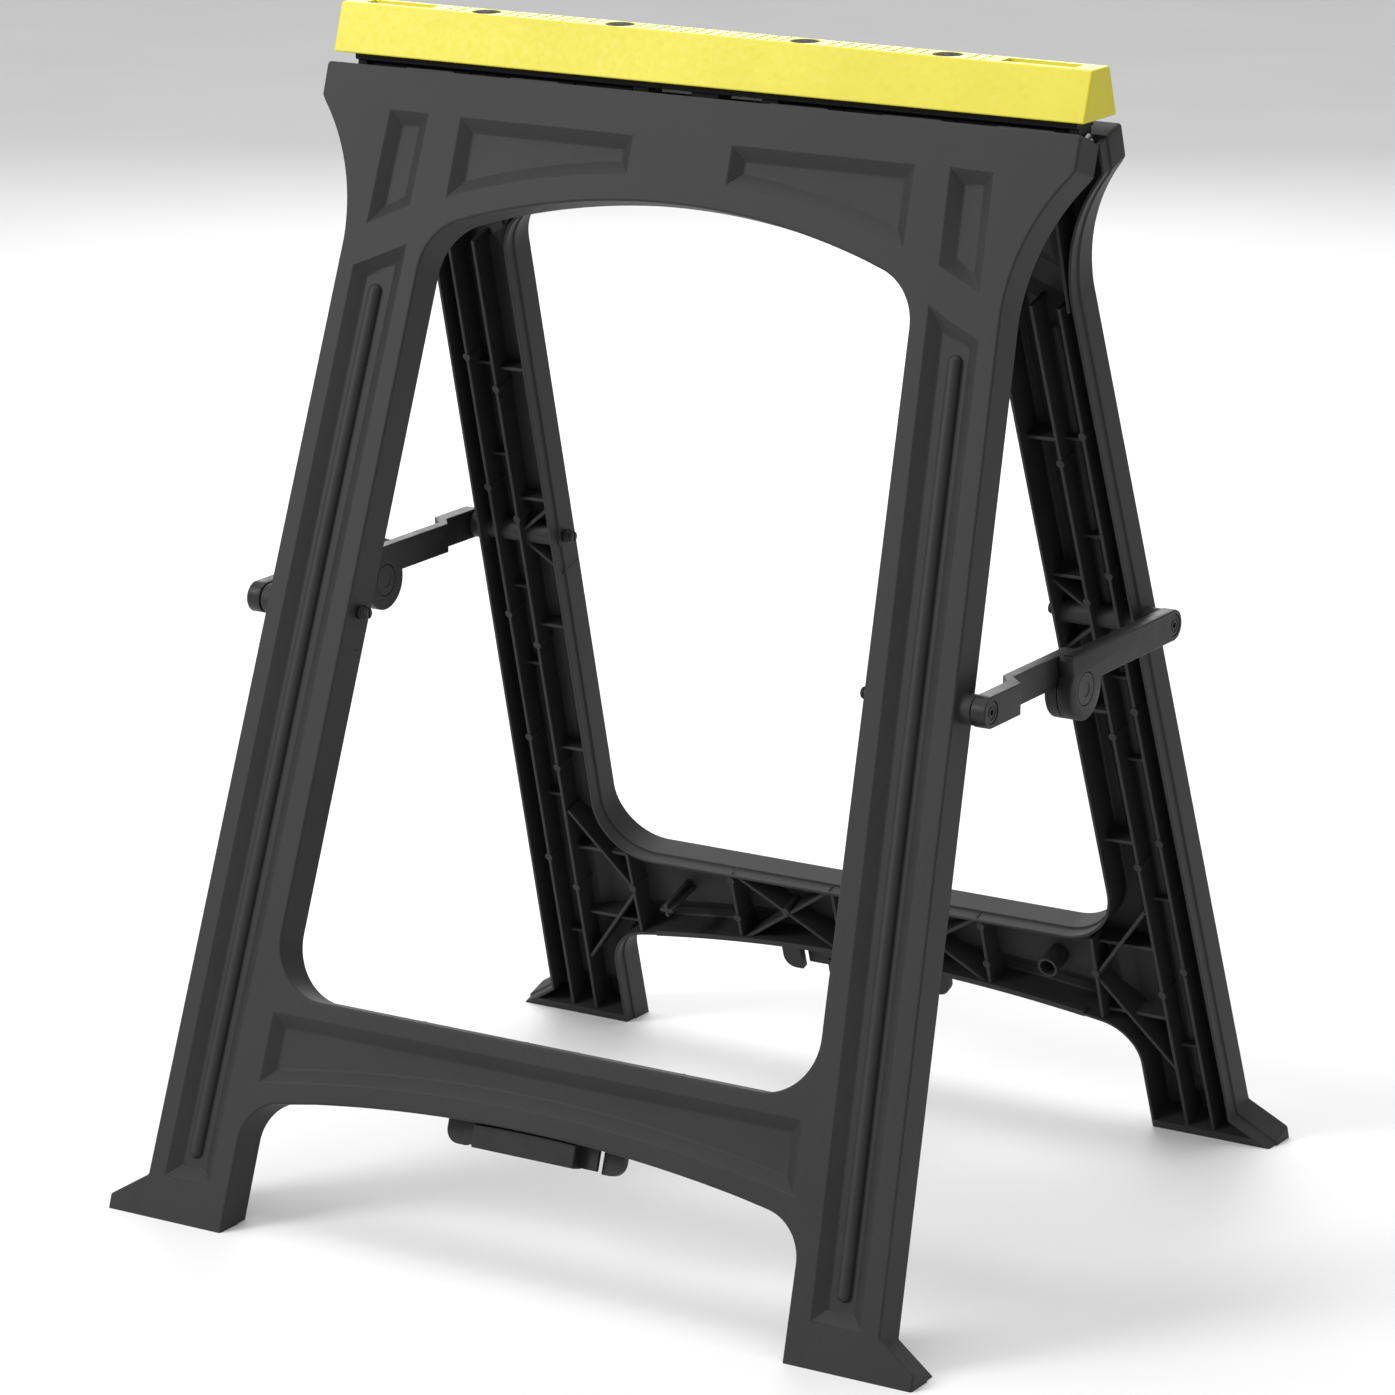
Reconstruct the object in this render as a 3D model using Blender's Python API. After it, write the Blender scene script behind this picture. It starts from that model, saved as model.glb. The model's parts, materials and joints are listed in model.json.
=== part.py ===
"""Folding sawhorse: two identical moulded leg frames hinged on a steel rod under a top rail.

Frame: X along the top rail, -Y to the front, +Z up, origin on the floor under the middle.
Each leg frame is modelled hanging straight down from its hinge axis, with x across it, y = minus
the depth towards its outer face and z = minus the distance below the axis. It is then leaned out.
"""
import math

import bmesh
import bpy
from mathutils import Matrix, Vector

MM = 0.001

# Overall layout
HEIGHT = 750 * MM
LEAN = math.radians(18.05)
HINGE_Z = 704 * MM
CLEARANCE = 0.5 * MM

# Leg frame outline, measured across and below the hinge axis
DEPTH = 28 * MM                 # from the hinge plane to the outer face
FRAME_TOP = -1.2 * MM
TOP_HALF = 272.3 * MM
SHOULDER_DROP = 20.8 * MM
WAIST_HALF = 238.4 * MM
WAIST_DROP = 111 * MM
SHOULDER_RADIUS = 134.6 * MM
ANKLE_HALF = 269.5 * MM
ANKLE_DROP = 722.7 * MM
TOE_HALF = 296 * MM
TOE_DROP = 740 * MM
FOOT_INNER_HALF = 207.8 * MM
BELOW_FLOOR = 765 * MM

# Window in the leg frame
ARCH_TOP = 66.4 * MM
ARCH_RADIUS = 480 * MM
WINDOW_HALF_TOP = 177.0 * MM
WINDOW_HALF_BOTTOM = 199.5 * MM
WINDOW_BOTTOM = 593 * MM
CORNER_RADIUS = 37 * MM

# Crossbar's lower edge
BAR_BOTTOM = 646.4 * MM
BAR_RADIUS = 1100 * MM
BAR_CORNER = 30 * MM
BAR_END_HALF = 205.3 * MM

# Shell
WALL = 3.2 * MM
WEB = 3.5 * MM
FOOT_SOLE = 735 * MM            # the shell's hollow ends this far below the axis
POCKET_DEPTH = 5.5 * MM
POCKET_SLOPE = 8.5 * MM
BACKING_LOW = DEPTH - POCKET_DEPTH - 3 * MM     # inner side of the pockets' floors
RIB = 2.6 * MM
BEAD_RADIUS = 5 * MM
BEAD = ((210.5 * MM, 138 * MM), (239 * MM, 704 * MM))

# Ribs in the hollow back
LEG_RIB_INSETS = (28 * MM, 47.5 * MM)
LEG_RIB_TOP = 118 * MM
TIE_RIB_DROPS = (216 * MM, 316 * MM, 416 * MM, 516 * MM)
BAR_RIB_PLACES = (97.5 * MM, 17 * MM)
BAR_END_RIB = 181 * MM
TOP_RIB_PLACES = (232 * MM, 180 * MM, 100 * MM)

# Hinge
ROD_RADIUS = 3 * MM
ROD_HALF = 266.3 * MM
KNUCKLE_RADIUS = 8 * MM
KNUCKLE_RELIEF = 9.5 * MM
KNUCKLES = [(55.5, 97), (135.5, 175.5), (215, 252.5), (-134, -98.5), (-213.5, -177)]
LUGS = [(-261.5, -254.5), (-53, -41), (-10, 10), (41, 53), (254.5, 261.5)]

# Top rail
RAIL_BOTTOM = 719 * MM
RAIL_HALF = 271.3 * MM
RAIL_HALF_WIDTH = 21.4 * MM
RAIL_TOP_HALF_WIDTH = 11.3 * MM
RAIL_WALL = 3 * MM
RAIL_ROOF = 5.5 * MM
PAD_RADIUS = 9 * MM
PAD_DEPTH = 3.2 * MM
PAD_PLACES = [-167, -67, 67, 167]
RECESS = (206 * MM, 257 * MM)   # where the shallow recess near each end starts and stops
RECESS_HALF_WIDTH = 6.5 * MM
RECESS_DEPTH = 2.5 * MM

# Hinge carrier inside the rail
CARRIER_BOTTOM = 713.5 * MM
CARRIER_TOP = 740 * MM
CARRIER_HALF_WIDTH = 11 * MM
CARRIER_WALL = 2.5 * MM
LUG_HALF_WIDTH = 8 * MM

# Braces
PIVOT_DROP = 345.4 * MM
PIVOT_DEPTH = 14.6 * MM
PIVOT_Y = PIVOT_DROP * math.sin(LEAN) + PIVOT_DEPTH * math.cos(LEAN)
PIVOT_Z = HINGE_Z - PIVOT_DROP * math.cos(LEAN) + PIVOT_DEPTH * math.sin(LEAN)
LINK_OUTER_X = 269.4 * MM
LINK_THICK = 10 * MM
LAP_INNER_X = 250.9 * MM
LINK_HALF_HEIGHT = 10 * MM
DISC_RADIUS = 20 * MM
DISC_DROP = 13.4 * MM
CRANK = (36 * MM, 47 * MM)      # where the cranked link steps from the outer to the inner layer
PIN_RADIUS = 4 * MM
PIN_HEAD_RADIUS = 7 * MM
JOINT_PIN_RADIUS = 6 * MM
PIN_INNER_END = 180.5 * MM
FLANGE_AT_PIVOT = 187.6 * MM    # opening side of the leg at the pivot

# Catch between the folded frames
POST_X = 145 * MM
POST_DROP = 624 * MM
POST_REACH = 13.5 * MM
TUBE_RADIUS = 7.3 * MM
TUBE_BORE = 5.6 * MM
TAB_HALF = 37.5 * MM
TAB_PLATE_HALF = 49.5 * MM
TAB_GAP = 0.6 * MM              # below the crossbar
TAB_ROOF = 4 * MM
TAB_BOTTOM = 663 * MM
TAB_FRONT = 21 * MM
TAB_BACK = 9 * MM
GUIDE_DEPTH = 12 * MM
GUIDE_RADIUS = 3 * MM
GUIDE_TOP = 624 * MM
EAR = (50.5 * MM, 65 * MM)
HOOK = (12 * MM, 24 * MM)       # across; the other frame's keeper notch is its mirror image

COLOURS = {
    "black_plastic": ((0.035, 0.035, 0.036), 0.62, 0.0),
    "yellow_plastic": ((0.88, 0.79, 0.10), 0.45, 0.0),
    "rubber": ((0.02, 0.02, 0.022), 0.8, 0.0),
    "steel": ((0.55, 0.55, 0.56), 0.35, 1.0),
    "link_plastic": ((0.03, 0.03, 0.031), 0.5, 0.0),
}


# ---------------------------------------------------------------- scene and modelling helpers

def clear_scene():
    for obj in list(bpy.data.objects):
        bpy.data.objects.remove(obj)


def new_collection(name):
    collection = bpy.data.collections.new(name)
    bpy.context.scene.collection.children.link(collection)
    return collection


def make_material(name):
    colour, roughness, metallic = COLOURS[name]
    material = bpy.data.materials.new(name)
    material.use_nodes = True
    shader = material.node_tree.nodes["Principled BSDF"]
    shader.inputs["Base Color"].default_value = (*colour, 1)
    shader.inputs["Roughness"].default_value = roughness
    shader.inputs["Metallic"].default_value = metallic
    return material


def link_cutter(obj):
    obj.hide_render = True
    obj.display_type = "WIRE"
    CUTTERS.objects.link(obj)
    return obj


def object_from(bm, name):
    mesh = bpy.data.meshes.new(name)
    bm.to_mesh(mesh)
    bm.free()
    return link_cutter(bpy.data.objects.new(name, mesh))


def box(low, high, name="block"):
    bm = bmesh.new()
    bmesh.ops.create_cube(bm, size=1)
    low, high = Vector(low), Vector(high)
    size = high - low
    bmesh.ops.scale(bm, vec=size, verts=bm.verts)
    bmesh.ops.translate(bm, vec=(low + high) / 2, verts=bm.verts)
    return object_from(bm, name)


def rod_between(start, end, radius, segments=16, end_radius=None, name="round"):
    """A cylinder or cone from one point to another."""
    start, end = Vector(start), Vector(end)
    bm = bmesh.new()
    bmesh.ops.create_cone(
        bm, cap_ends=True, segments=segments, radius1=radius,
        radius2=radius if end_radius is None else end_radius, depth=(end - start).length)
    turn = Vector((0, 0, 1)).rotation_difference(end - start).to_matrix().to_4x4()
    bmesh.ops.transform(bm, matrix=Matrix.Translation((start + end) / 2) @ turn, verts=bm.verts)
    return object_from(bm, name)


def extruded(outlines, thickness, name):
    """A flat outline with holes as a mesh: its outline in X and Y, its thickness centred on Z."""
    curve = bpy.data.curves.new(name, "CURVE")
    curve.dimensions = "2D"
    curve.fill_mode = "BOTH"
    curve.extrude = thickness / 2
    for outline in outlines:
        spline = curve.splines.new("POLY")
        spline.points.add(len(outline) - 1)
        for point, (across, up) in zip(spline.points, outline):
            point.co = (across, up, 0, 1)
        spline.use_cyclic_u = True
    holder = link_cutter(bpy.data.objects.new(name, curve))
    bpy.context.view_layer.update()
    graph = bpy.context.evaluated_depsgraph_get()
    mesh = bpy.data.meshes.new_from_object(holder.evaluated_get(graph), depsgraph=graph)
    bpy.data.objects.remove(holder)
    bm = bmesh.new()
    bm.from_mesh(mesh)
    bmesh.ops.remove_doubles(bm, verts=bm.verts, dist=0.00001)
    bmesh.ops.recalc_face_normals(bm, faces=bm.faces)
    return bm


def plate(outlines, depth_low, depth_high, name="plate"):
    """A plate in the leg frame's plane, from outlines of (across, drop) points."""
    flipped = [[(across, -drop) for across, drop in outline] for outline in outlines]
    bm = extruded(flipped, depth_high - depth_low, name)
    stand = Matrix.Rotation(math.pi / 2, 4, "X")
    shift = Matrix.Translation((0, -(depth_low + depth_high) / 2, 0))
    bmesh.ops.transform(bm, matrix=shift @ stand, verts=bm.verts)
    return object_from(bm, name)


def prism_x(outline, low, high, name="prism"):
    """A prism along X from an outline of (y, z) points."""
    bm = extruded([outline], high - low, name)
    turn = Matrix(((0, 0, 1, 0), (1, 0, 0, 0), (0, 1, 0, 0), (0, 0, 0, 1)))
    shift = Matrix.Translation(((low + high) / 2, 0, 0))
    bmesh.ops.transform(bm, matrix=shift @ turn, verts=bm.verts)
    return object_from(bm, name)


def pocket(outline, name="pocket"):
    """A cutter for a shallow pocket: a loft from a mouth just outside the face to its floor."""
    above = 0.6 * MM
    inward = 1 if signed_area(outline) > 0 else -1
    mouth = offset(outline, -inward * above * POCKET_SLOPE / POCKET_DEPTH)
    floor = offset(outline, inward * POCKET_SLOPE)
    bm = bmesh.new()
    outer = [bm.verts.new((across, -DEPTH - above, -drop)) for across, drop in mouth]
    inner = [bm.verts.new((across, -DEPTH + POCKET_DEPTH, -drop)) for across, drop in floor]
    bm.faces.new(outer)
    bm.faces.new(inner)
    for index in range(len(outer)):
        bm.faces.new((outer[index - 1], outer[index], inner[index], inner[index - 1]))
    bmesh.ops.recalc_face_normals(bm, faces=bm.faces)
    return object_from(bm, name)


def boolean(target, operation, tools, name):
    """Add or remove several solids at once with one exact Boolean."""
    group = bpy.data.collections.new(name)
    CUTTERS.children.link(group)
    for tool in tools:
        CUTTERS.objects.unlink(tool)
        group.objects.link(tool)
    modifier = target.modifiers.new(name, "BOOLEAN")
    modifier.operation = operation
    modifier.solver = "EXACT"
    modifier.operand_type = "COLLECTION"
    modifier.collection = group
    return target


def finished_mesh(target, name):
    """The mesh that an object's modifiers give, with the object and its tools removed."""
    bpy.context.view_layer.update()
    graph = bpy.context.evaluated_depsgraph_get()
    mesh = bpy.data.meshes.new_from_object(target.evaluated_get(graph), depsgraph=graph)
    groups = [modifier.collection for modifier in target.modifiers]
    bpy.data.objects.remove(target)
    for group in groups:
        for tool in list(group.objects):
            bpy.data.objects.remove(tool)
        bpy.data.collections.remove(group)
    bm = bmesh.new()
    bm.from_mesh(mesh)
    bmesh.ops.remove_doubles(bm, verts=bm.verts, dist=0.000005)
    bmesh.ops.dissolve_degenerate(bm, edges=bm.edges, dist=0.000005)
    bmesh.ops.dissolve_limit(bm, angle_limit=math.radians(0.2), verts=bm.verts, edges=bm.edges)
    bm.to_mesh(mesh)
    bm.free()
    mesh.name = name
    mesh.shade_smooth()
    mesh.set_sharp_from_angle(angle=math.radians(32))
    return mesh


def place(name, mesh, material, parent=None, location=(0, 0, 0), rotation=(0, 0, 0)):
    """A named part of the sawhorse."""
    obj = bpy.data.objects.new(name, mesh)
    if not mesh.materials:
        mesh.materials.append(MATERIALS[material])
    obj.parent = parent
    obj.location = location
    obj.rotation_euler = rotation
    PARTS.objects.link(obj)
    return obj


def empty(name, location, rotation=(0, 0, 0), parent=None):
    obj = bpy.data.objects.new(name, None)
    obj.location = location
    obj.rotation_euler = rotation
    obj.parent = parent
    obj.empty_display_size = 0.02
    PARTS.objects.link(obj)
    return obj


def arc(centre, radius, start, end, steps):
    """Points on an arc, angles in degrees from +across towards +drop."""
    points = []
    for step in range(steps + 1):
        angle = math.radians(start + (end - start) * step / steps)
        points.append((centre[0] + radius * math.cos(angle), centre[1] + radius * math.sin(angle)))
    return points


def mirrored(right):
    """A closed outline from its right half, listed from the middle round to the middle."""
    left = [(-across, drop) for across, drop in reversed(right)]
    return right + [point for point in left if abs(point[0]) > 0.1 * MM]


def fillet(before, corner, after, radius, steps):
    """Points of an arc that rounds a corner between two straight directions."""
    corner = Vector(corner)
    back = (Vector(before) - corner).normalized()
    ahead = (Vector(after) - corner).normalized()
    half = math.acos(max(-1, min(1, back.dot(ahead)))) / 2
    centre = corner + (back + ahead).normalized() * (radius / math.sin(half))
    reach = radius / math.tan(half)
    first = corner + back * reach - centre
    last = corner + ahead * reach - centre
    turn = math.atan2(first.x * last.y - first.y * last.x, first.dot(last))
    points = []
    for step in range(steps + 1):
        angle = turn * step / steps
        spun = Matrix.Rotation(angle, 2) @ first
        points.append(tuple(centre + spun))
    return points


def offset(outline, amount):
    """An outline moved sideways by the same amount all round, to its left as it runs."""
    count = len(outline)
    moved = []
    for index in range(count):
        here = Vector(outline[index])
        back = (here - Vector(outline[index - 1])).normalized()
        ahead = (Vector(outline[(index + 1) % count]) - here).normalized()
        side_back = Vector((-back.y, back.x))
        side_ahead = Vector((-ahead.y, ahead.x))
        middle = (side_back + side_ahead).normalized()
        stretch = min(1 / max(0.35, middle.dot(side_back)), 2.5)
        moved.append(tuple(here + middle * amount * stretch))
    return moved


def cut_level(outline, lowest):
    """The part of an outline above a drop."""
    kept = []
    for index, (across, drop) in enumerate(outline):
        before = outline[index - 1]
        if (before[1] > lowest) != (drop > lowest):
            share = (lowest - before[1]) / (drop - before[1])
            kept.append((before[0] + (across - before[0]) * share, lowest))
        if drop <= lowest:
            kept.append((across, drop))
    return kept


def signed_area(outline):
    """Twice the area of an outline, positive where it runs from +across towards +drop."""
    total = 0
    for index, (across, drop) in enumerate(outline):
        before = outline[index - 1]
        total += before[0] * drop - across * before[1]
    return total


# ---------------------------------------------------------------- leg frame outlines

def arch_drop(across, radius=ARCH_RADIUS):
    """Drop of the window's arched top, or of a curve concentric with it."""
    centre = ARCH_TOP + ARCH_RADIUS
    return centre - math.sqrt(radius ** 2 - across ** 2)


def bar_drop(across, inset=0.0):
    """Drop of the crossbar's arched lower edge, or of a curve above it."""
    radius = BAR_RADIUS + inset
    return BAR_BOTTOM + BAR_RADIUS - math.sqrt(radius ** 2 - across ** 2)


def spread(low, high, steps):
    return [low + (high - low) * step / steps for step in range(steps + 1)]


def frame_outline():
    """Outer edge of the leg frame, both feet and the crossbar's lower edge."""
    shoulder_centre = (WAIST_HALF + SHOULDER_RADIUS, WAIST_DROP)
    rise = math.degrees(math.asin((WAIST_DROP - SHOULDER_DROP) / SHOULDER_RADIUS))
    bar_corner = (BAR_END_HALF, bar_drop(BAR_END_HALF))
    before = (BAR_END_HALF, bar_corner[1] + 0.05)
    after = (BAR_END_HALF - 0.05, bar_drop(BAR_END_HALF - 0.05))
    right = [(0, FRAME_TOP), (TOP_HALF, FRAME_TOP), (TOP_HALF, SHOULDER_DROP)]
    right += arc(shoulder_centre, SHOULDER_RADIUS, 180 + rise, 180, 7)[1:]
    right += [(ANKLE_HALF, ANKLE_DROP), (TOE_HALF, TOE_DROP), (TOE_HALF, BELOW_FLOOR)]
    right += [(FOOT_INNER_HALF, BELOW_FLOOR)]
    right += fillet(before, bar_corner, after, BAR_CORNER, 6)
    right += [(across, bar_drop(across)) for across in spread(150 * MM, 0, 6)]
    return mirrored(right)


def window_outline():
    corner_top = (WINDOW_HALF_TOP, arch_drop(WINDOW_HALF_TOP))
    corner_low = (WINDOW_HALF_BOTTOM, WINDOW_BOTTOM)
    along_arch = (WINDOW_HALF_TOP - 0.03, arch_drop(WINDOW_HALF_TOP - 0.03))
    right = [(across, arch_drop(across)) for across in spread(0, 136 * MM, 6)]
    right += fillet(along_arch, corner_top, corner_low, CORNER_RADIUS, 6)
    right += fillet(corner_top, corner_low, (0, WINDOW_BOTTOM), CORNER_RADIUS, 6)
    right += [(0, WINDOW_BOTTOM)]
    return mirrored(right)


def leg_groove():
    """Long groove down a leg's outer face."""
    return [(189.5 * MM, 110.3 * MM), (226.8 * MM, 127.6 * MM), (256.2 * MM, 720.8 * MM),
            (222 * MM, 720.8 * MM)]


def shoulder_pocket():
    return [(188.9 * MM, 26.4 * MM), (218.2 * MM, 26.4 * MM), (222.2 * MM, 99.9 * MM),
            (192 * MM, 85.2 * MM)]


def arch_pocket():
    lower = [(across, arch_drop(across, ARCH_RADIUS + 17 * MM))
             for across in spread(165.4 * MM, 36 * MM, 7)]
    return [(36 * MM, 26.8 * MM), (164.4 * MM, 26.8 * MM)] + lower


def bar_pocket():
    lower = [(across, bar_drop(across, 13.5 * MM)) for across in spread(196.4 * MM, -196.4 * MM, 12)]
    return [(-194.1 * MM, 604.9 * MM), (194.1 * MM, 604.9 * MM)] + lower


def both_sides(outline):
    return [outline, [(-across, drop) for across, drop in reversed(outline)]]


def all_pockets():
    pockets = both_sides(leg_groove()) + both_sides(shoulder_pocket())
    return pockets + both_sides(arch_pocket()) + [bar_pocket()]


def window_side(drop):
    """Half width of the window at a drop, on the line of its side."""
    top = arch_drop(WINDOW_HALF_TOP)
    share = (drop - top) / (WINDOW_BOTTOM - top)
    return WINDOW_HALF_TOP + (WINDOW_HALF_BOTTOM - WINDOW_HALF_TOP) * share


# ---------------------------------------------------------------- leg frame solids

def rib(start, end, depth_low=2 * MM, depth_high=DEPTH - WEB + 0.6 * MM, thick=RIB):
    """An upright rib in the hollow back, between two (across, drop) points."""
    start, end = Vector(start), Vector(end)
    run = (end - start).normalized()
    side = Vector((-run.y, run.x)) * thick / 2
    corners = [start - side, end - side, end + side, start + side]
    return plate([[tuple(corner) for corner in corners]], depth_low, depth_high, "rib")


def leg_ribs(side):
    """Two long ribs down one leg, with the short ribs that tie them to the opening side."""
    solids = []
    for inset in LEG_RIB_INSETS:
        start = (side * (window_side(LEG_RIB_TOP) + inset), LEG_RIB_TOP)
        end = (side * (window_side(FOOT_SOLE) + inset), FOOT_SOLE + 1 * MM)
        solids.append(rib(start, end))
    for drop in TIE_RIB_DROPS:
        edge = window_side(drop)
        solids.append(rib((side * (edge + 1 * MM), drop), (side * (edge + 28.5 * MM), drop),
                          depth_low=6 * MM))
    return solids


def bar_ribs():
    """Upright and crossed ribs in the crossbar, leaving the middle free for the latch."""
    top = WINDOW_BOTTOM + 1.2 * MM
    solids = []
    for side in (-1, 1):
        for place_along in BAR_RIB_PLACES:
            across = side * place_along
            solids.append(rib((across, top), (across, bar_drop(across) - 1.2 * MM)))
        end = side * BAR_END_RIB
        solids.append(rib((end, top), (end, bar_drop(end) + 2 * MM)))
        outer, inner = (side * (BAR_RIB_PLACES[0] - 1.5 * MM), side * (BAR_RIB_PLACES[1] + 1 * MM))
        low_outer, low_inner = (bar_drop(across) - 1.6 * MM for across in (outer, inner))
        solids.append(rib((outer, top), (inner, low_inner), 2.5 * MM))
        solids.append(rib((outer, low_outer), (inner, top), 3 * MM))
        solids.append(rib((end, 624 * MM), (side * 224 * MM, 566 * MM), 3 * MM))
        solids.append(rib((end, 627 * MM), (side * 230 * MM, 690 * MM), 3.5 * MM))
    return solids


def top_ribs():
    """Upright ribs behind the shoulders and over the arch."""
    solids = []
    lows = (120 * MM, 104 * MM, arch_drop(TOP_RIB_PLACES[2]) - 1.2 * MM)
    for across, low in zip(TOP_RIB_PLACES, lows):
        for side in (-1, 1):
            solids.append(rib((side * across, FRAME_TOP + 1.2 * MM), (side * across, low)))
    return solids


def knuckles():
    """Hinge knuckles that stand on the frame's top edge and take the rod."""
    solids = []
    for low, high in KNUCKLES:
        solids.append(rod_between((low * MM, 0, 0), (high * MM, 0, 0), KNUCKLE_RADIUS, 20))
        solids.append(box((low * MM, -DEPTH + WEB - 0.4 * MM, -KNUCKLE_RADIUS),
                          (high * MM, -1 * MM, 2 * MM)))
    return solids


def pivot_bosses(side):
    """Boss through the leg for the brace pin, and the round spacer outside it."""
    inner = side * (FLANGE_AT_PIVOT + 1 * MM)
    across = side * 247 * MM
    outer = side * (LINK_OUTER_X - LINK_THICK - CLEARANCE)
    y, z = -PIVOT_DEPTH, -PIVOT_DROP
    return [rod_between((inner, y, z), (across, y, z), 8 * MM),
            rod_between((side * 246.5 * MM, y, z), (outer, y, z), 9.5 * MM)]


def catch_solids():
    """Cross-shaped post, its mating tube, and the two ears beside the latch."""
    solids = []
    arm = 5 * MM
    half = 1.3 * MM
    for wide, tall in ((arm, half), (half, arm)):
        solids.append(box((POST_X - wide, -DEPTH + WEB - 0.6 * MM, -POST_DROP - tall),
                          (POST_X + wide, POST_REACH, -POST_DROP + tall)))
    solids.append(rod_between((-POST_X, -DEPTH + WEB - 0.7 * MM, -POST_DROP),
                              (-POST_X, -1 * MM, -POST_DROP), TUBE_RADIUS))
    for side in (-1, 1):
        low, high = EAR
        top = BAR_BOTTOM - 1.5 * MM
        outline = [(side * low, top), (side * high, top)]
        outline += [(side * across, drop) for across, drop
                    in arc((high - 9 * MM, TAB_BOTTOM - 8 * MM), 9 * MM, 0, 90, 5)]
        outline += [(side * low, TAB_BOTTOM + 1 * MM)]
        solids.append(plate([outline], 1.2 * MM, 7.5 * MM, "ear"))
    return solids


def frame_additions():
    solids = [plate([outline], BACKING_LOW, DEPTH - WEB + 0.5 * MM, "backing")
              for outline in all_pockets()]
    for side in (-1, 1):
        solids += leg_ribs(side)
        solids += pivot_bosses(side)
    return solids + bar_ribs() + top_ribs() + knuckles() + catch_solids()


def hinge_reliefs():
    """Stretches along the hinge, in mm, that the other frame and the rail's lugs need free."""
    end = (TOP_HALF - WALL) / MM - 0.8
    needed = [(-high - 1, -low + 1) for low, high in KNUCKLES]
    needed += [(low - 1, high + 1) for low, high in LUGS]
    needed += [(LUGS[-1][0] - 1, end), (-end, LUGS[0][1] + 1)]
    merged = []
    for low, high in sorted(needed):
        if merged and low < merged[-1][1] + 0.2:
            merged[-1] = (merged[-1][0], max(high, merged[-1][1]))
        else:
            merged.append((low, high))
    return merged


def frame_cuts():
    """Everything that is cut from the shell once its ribs are on."""
    cuts = [pocket(outline) for outline in all_pockets()]
    cuts.append(rod_between((-TOP_HALF + WALL + 0.5 * MM, 0, 0), (TOP_HALF - WALL - 0.5 * MM, 0, 0),
                            ROD_RADIUS + 0.4 * MM, 20))
    for start, end in hinge_reliefs():
        cuts.append(rod_between((start * MM, 0, 0), (end * MM, 0, 0), KNUCKLE_RELIEF, 20))
    cuts.append(rod_between((-POST_X, -BACKING_LOW, -POST_DROP), (-POST_X, 1 * MM, -POST_DROP), TUBE_BORE))
    cuts.append(rod_between((0, -GUIDE_DEPTH, -BAR_BOTTOM + 8 * MM),
                            (0, -GUIDE_DEPTH, -BAR_BOTTOM - 3 * MM), GUIDE_RADIUS + 0.5 * MM, 16))
    low, high = HOOK
    cuts.append(box((-high - 3 * MM, -TAB_BACK - 0.5 * MM, -BAR_BOTTOM - 3 * MM),
                    (-low + 3 * MM, 1 * MM, -BAR_BOTTOM + 5 * MM), "keeper"))
    floor = box((-HEIGHT, -HEIGHT, -HEIGHT), (HEIGHT, HEIGHT, 0), "floor")
    drop = HINGE_Z / math.cos(LEAN)
    floor.data.transform(Matrix.Translation((0, 0, -drop)) @ Matrix.Rotation(LEAN, 4, "X"))
    cuts.append(floor)
    return cuts


def pin_holes():
    y, z = -PIVOT_DEPTH, -PIVOT_DROP
    return [rod_between((side * 180 * MM, y, z), (side * 262 * MM, y, z), PIN_RADIUS + 0.4 * MM, 20)
            for side in (-1, 1)]


def groove_beads():
    """Round bead down the middle of each leg groove."""
    beads = []
    for side in (-1, 1):
        sunk = -(DEPTH - POCKET_DEPTH - 0.6 * MM)
        top, low = ((side * across, sunk, -drop) for across, drop in BEAD)
        beads.append(rod_between(top, low, BEAD_RADIUS, 16))
    return beads


def leg_frame_mesh():
    outer = frame_outline()
    window = window_outline()
    body = plate([outer, window], CLEARANCE, DEPTH, "leg_frame_body")
    hollow_outer = cut_level(offset(outer, WALL), FOOT_SOLE)
    hollow_window = offset(window, -WALL)
    hollow = plate([hollow_outer, hollow_window], -2 * MM, DEPTH - WEB, "hollow")
    boolean(body, "DIFFERENCE", [hollow], "hollow")
    boolean(body, "UNION", frame_additions(), "additions")
    boolean(body, "DIFFERENCE", frame_cuts(), "cuts")
    boolean(body, "UNION", groove_beads(), "beads")
    boolean(body, "DIFFERENCE", pin_holes(), "pin_holes")
    return finished_mesh(body, "leg_frame")


# ---------------------------------------------------------------- top rail, rod and pads

def rail_profile(inset, bottom, top):
    slope = (RAIL_HALF_WIDTH - RAIL_TOP_HALF_WIDTH) / (HEIGHT - RAIL_BOTTOM)
    low = RAIL_HALF_WIDTH - (bottom - RAIL_BOTTOM) * slope - inset
    high = RAIL_HALF_WIDTH - (top - RAIL_BOTTOM) * slope - inset
    soft = 0.8 * MM if inset == 0 else 0.2 * MM
    return [(-low, bottom), (low, bottom), (high + soft / 3, top - soft), (high - soft, top),
            (-high + soft, top), (-high - soft / 3, top - soft)]


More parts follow.
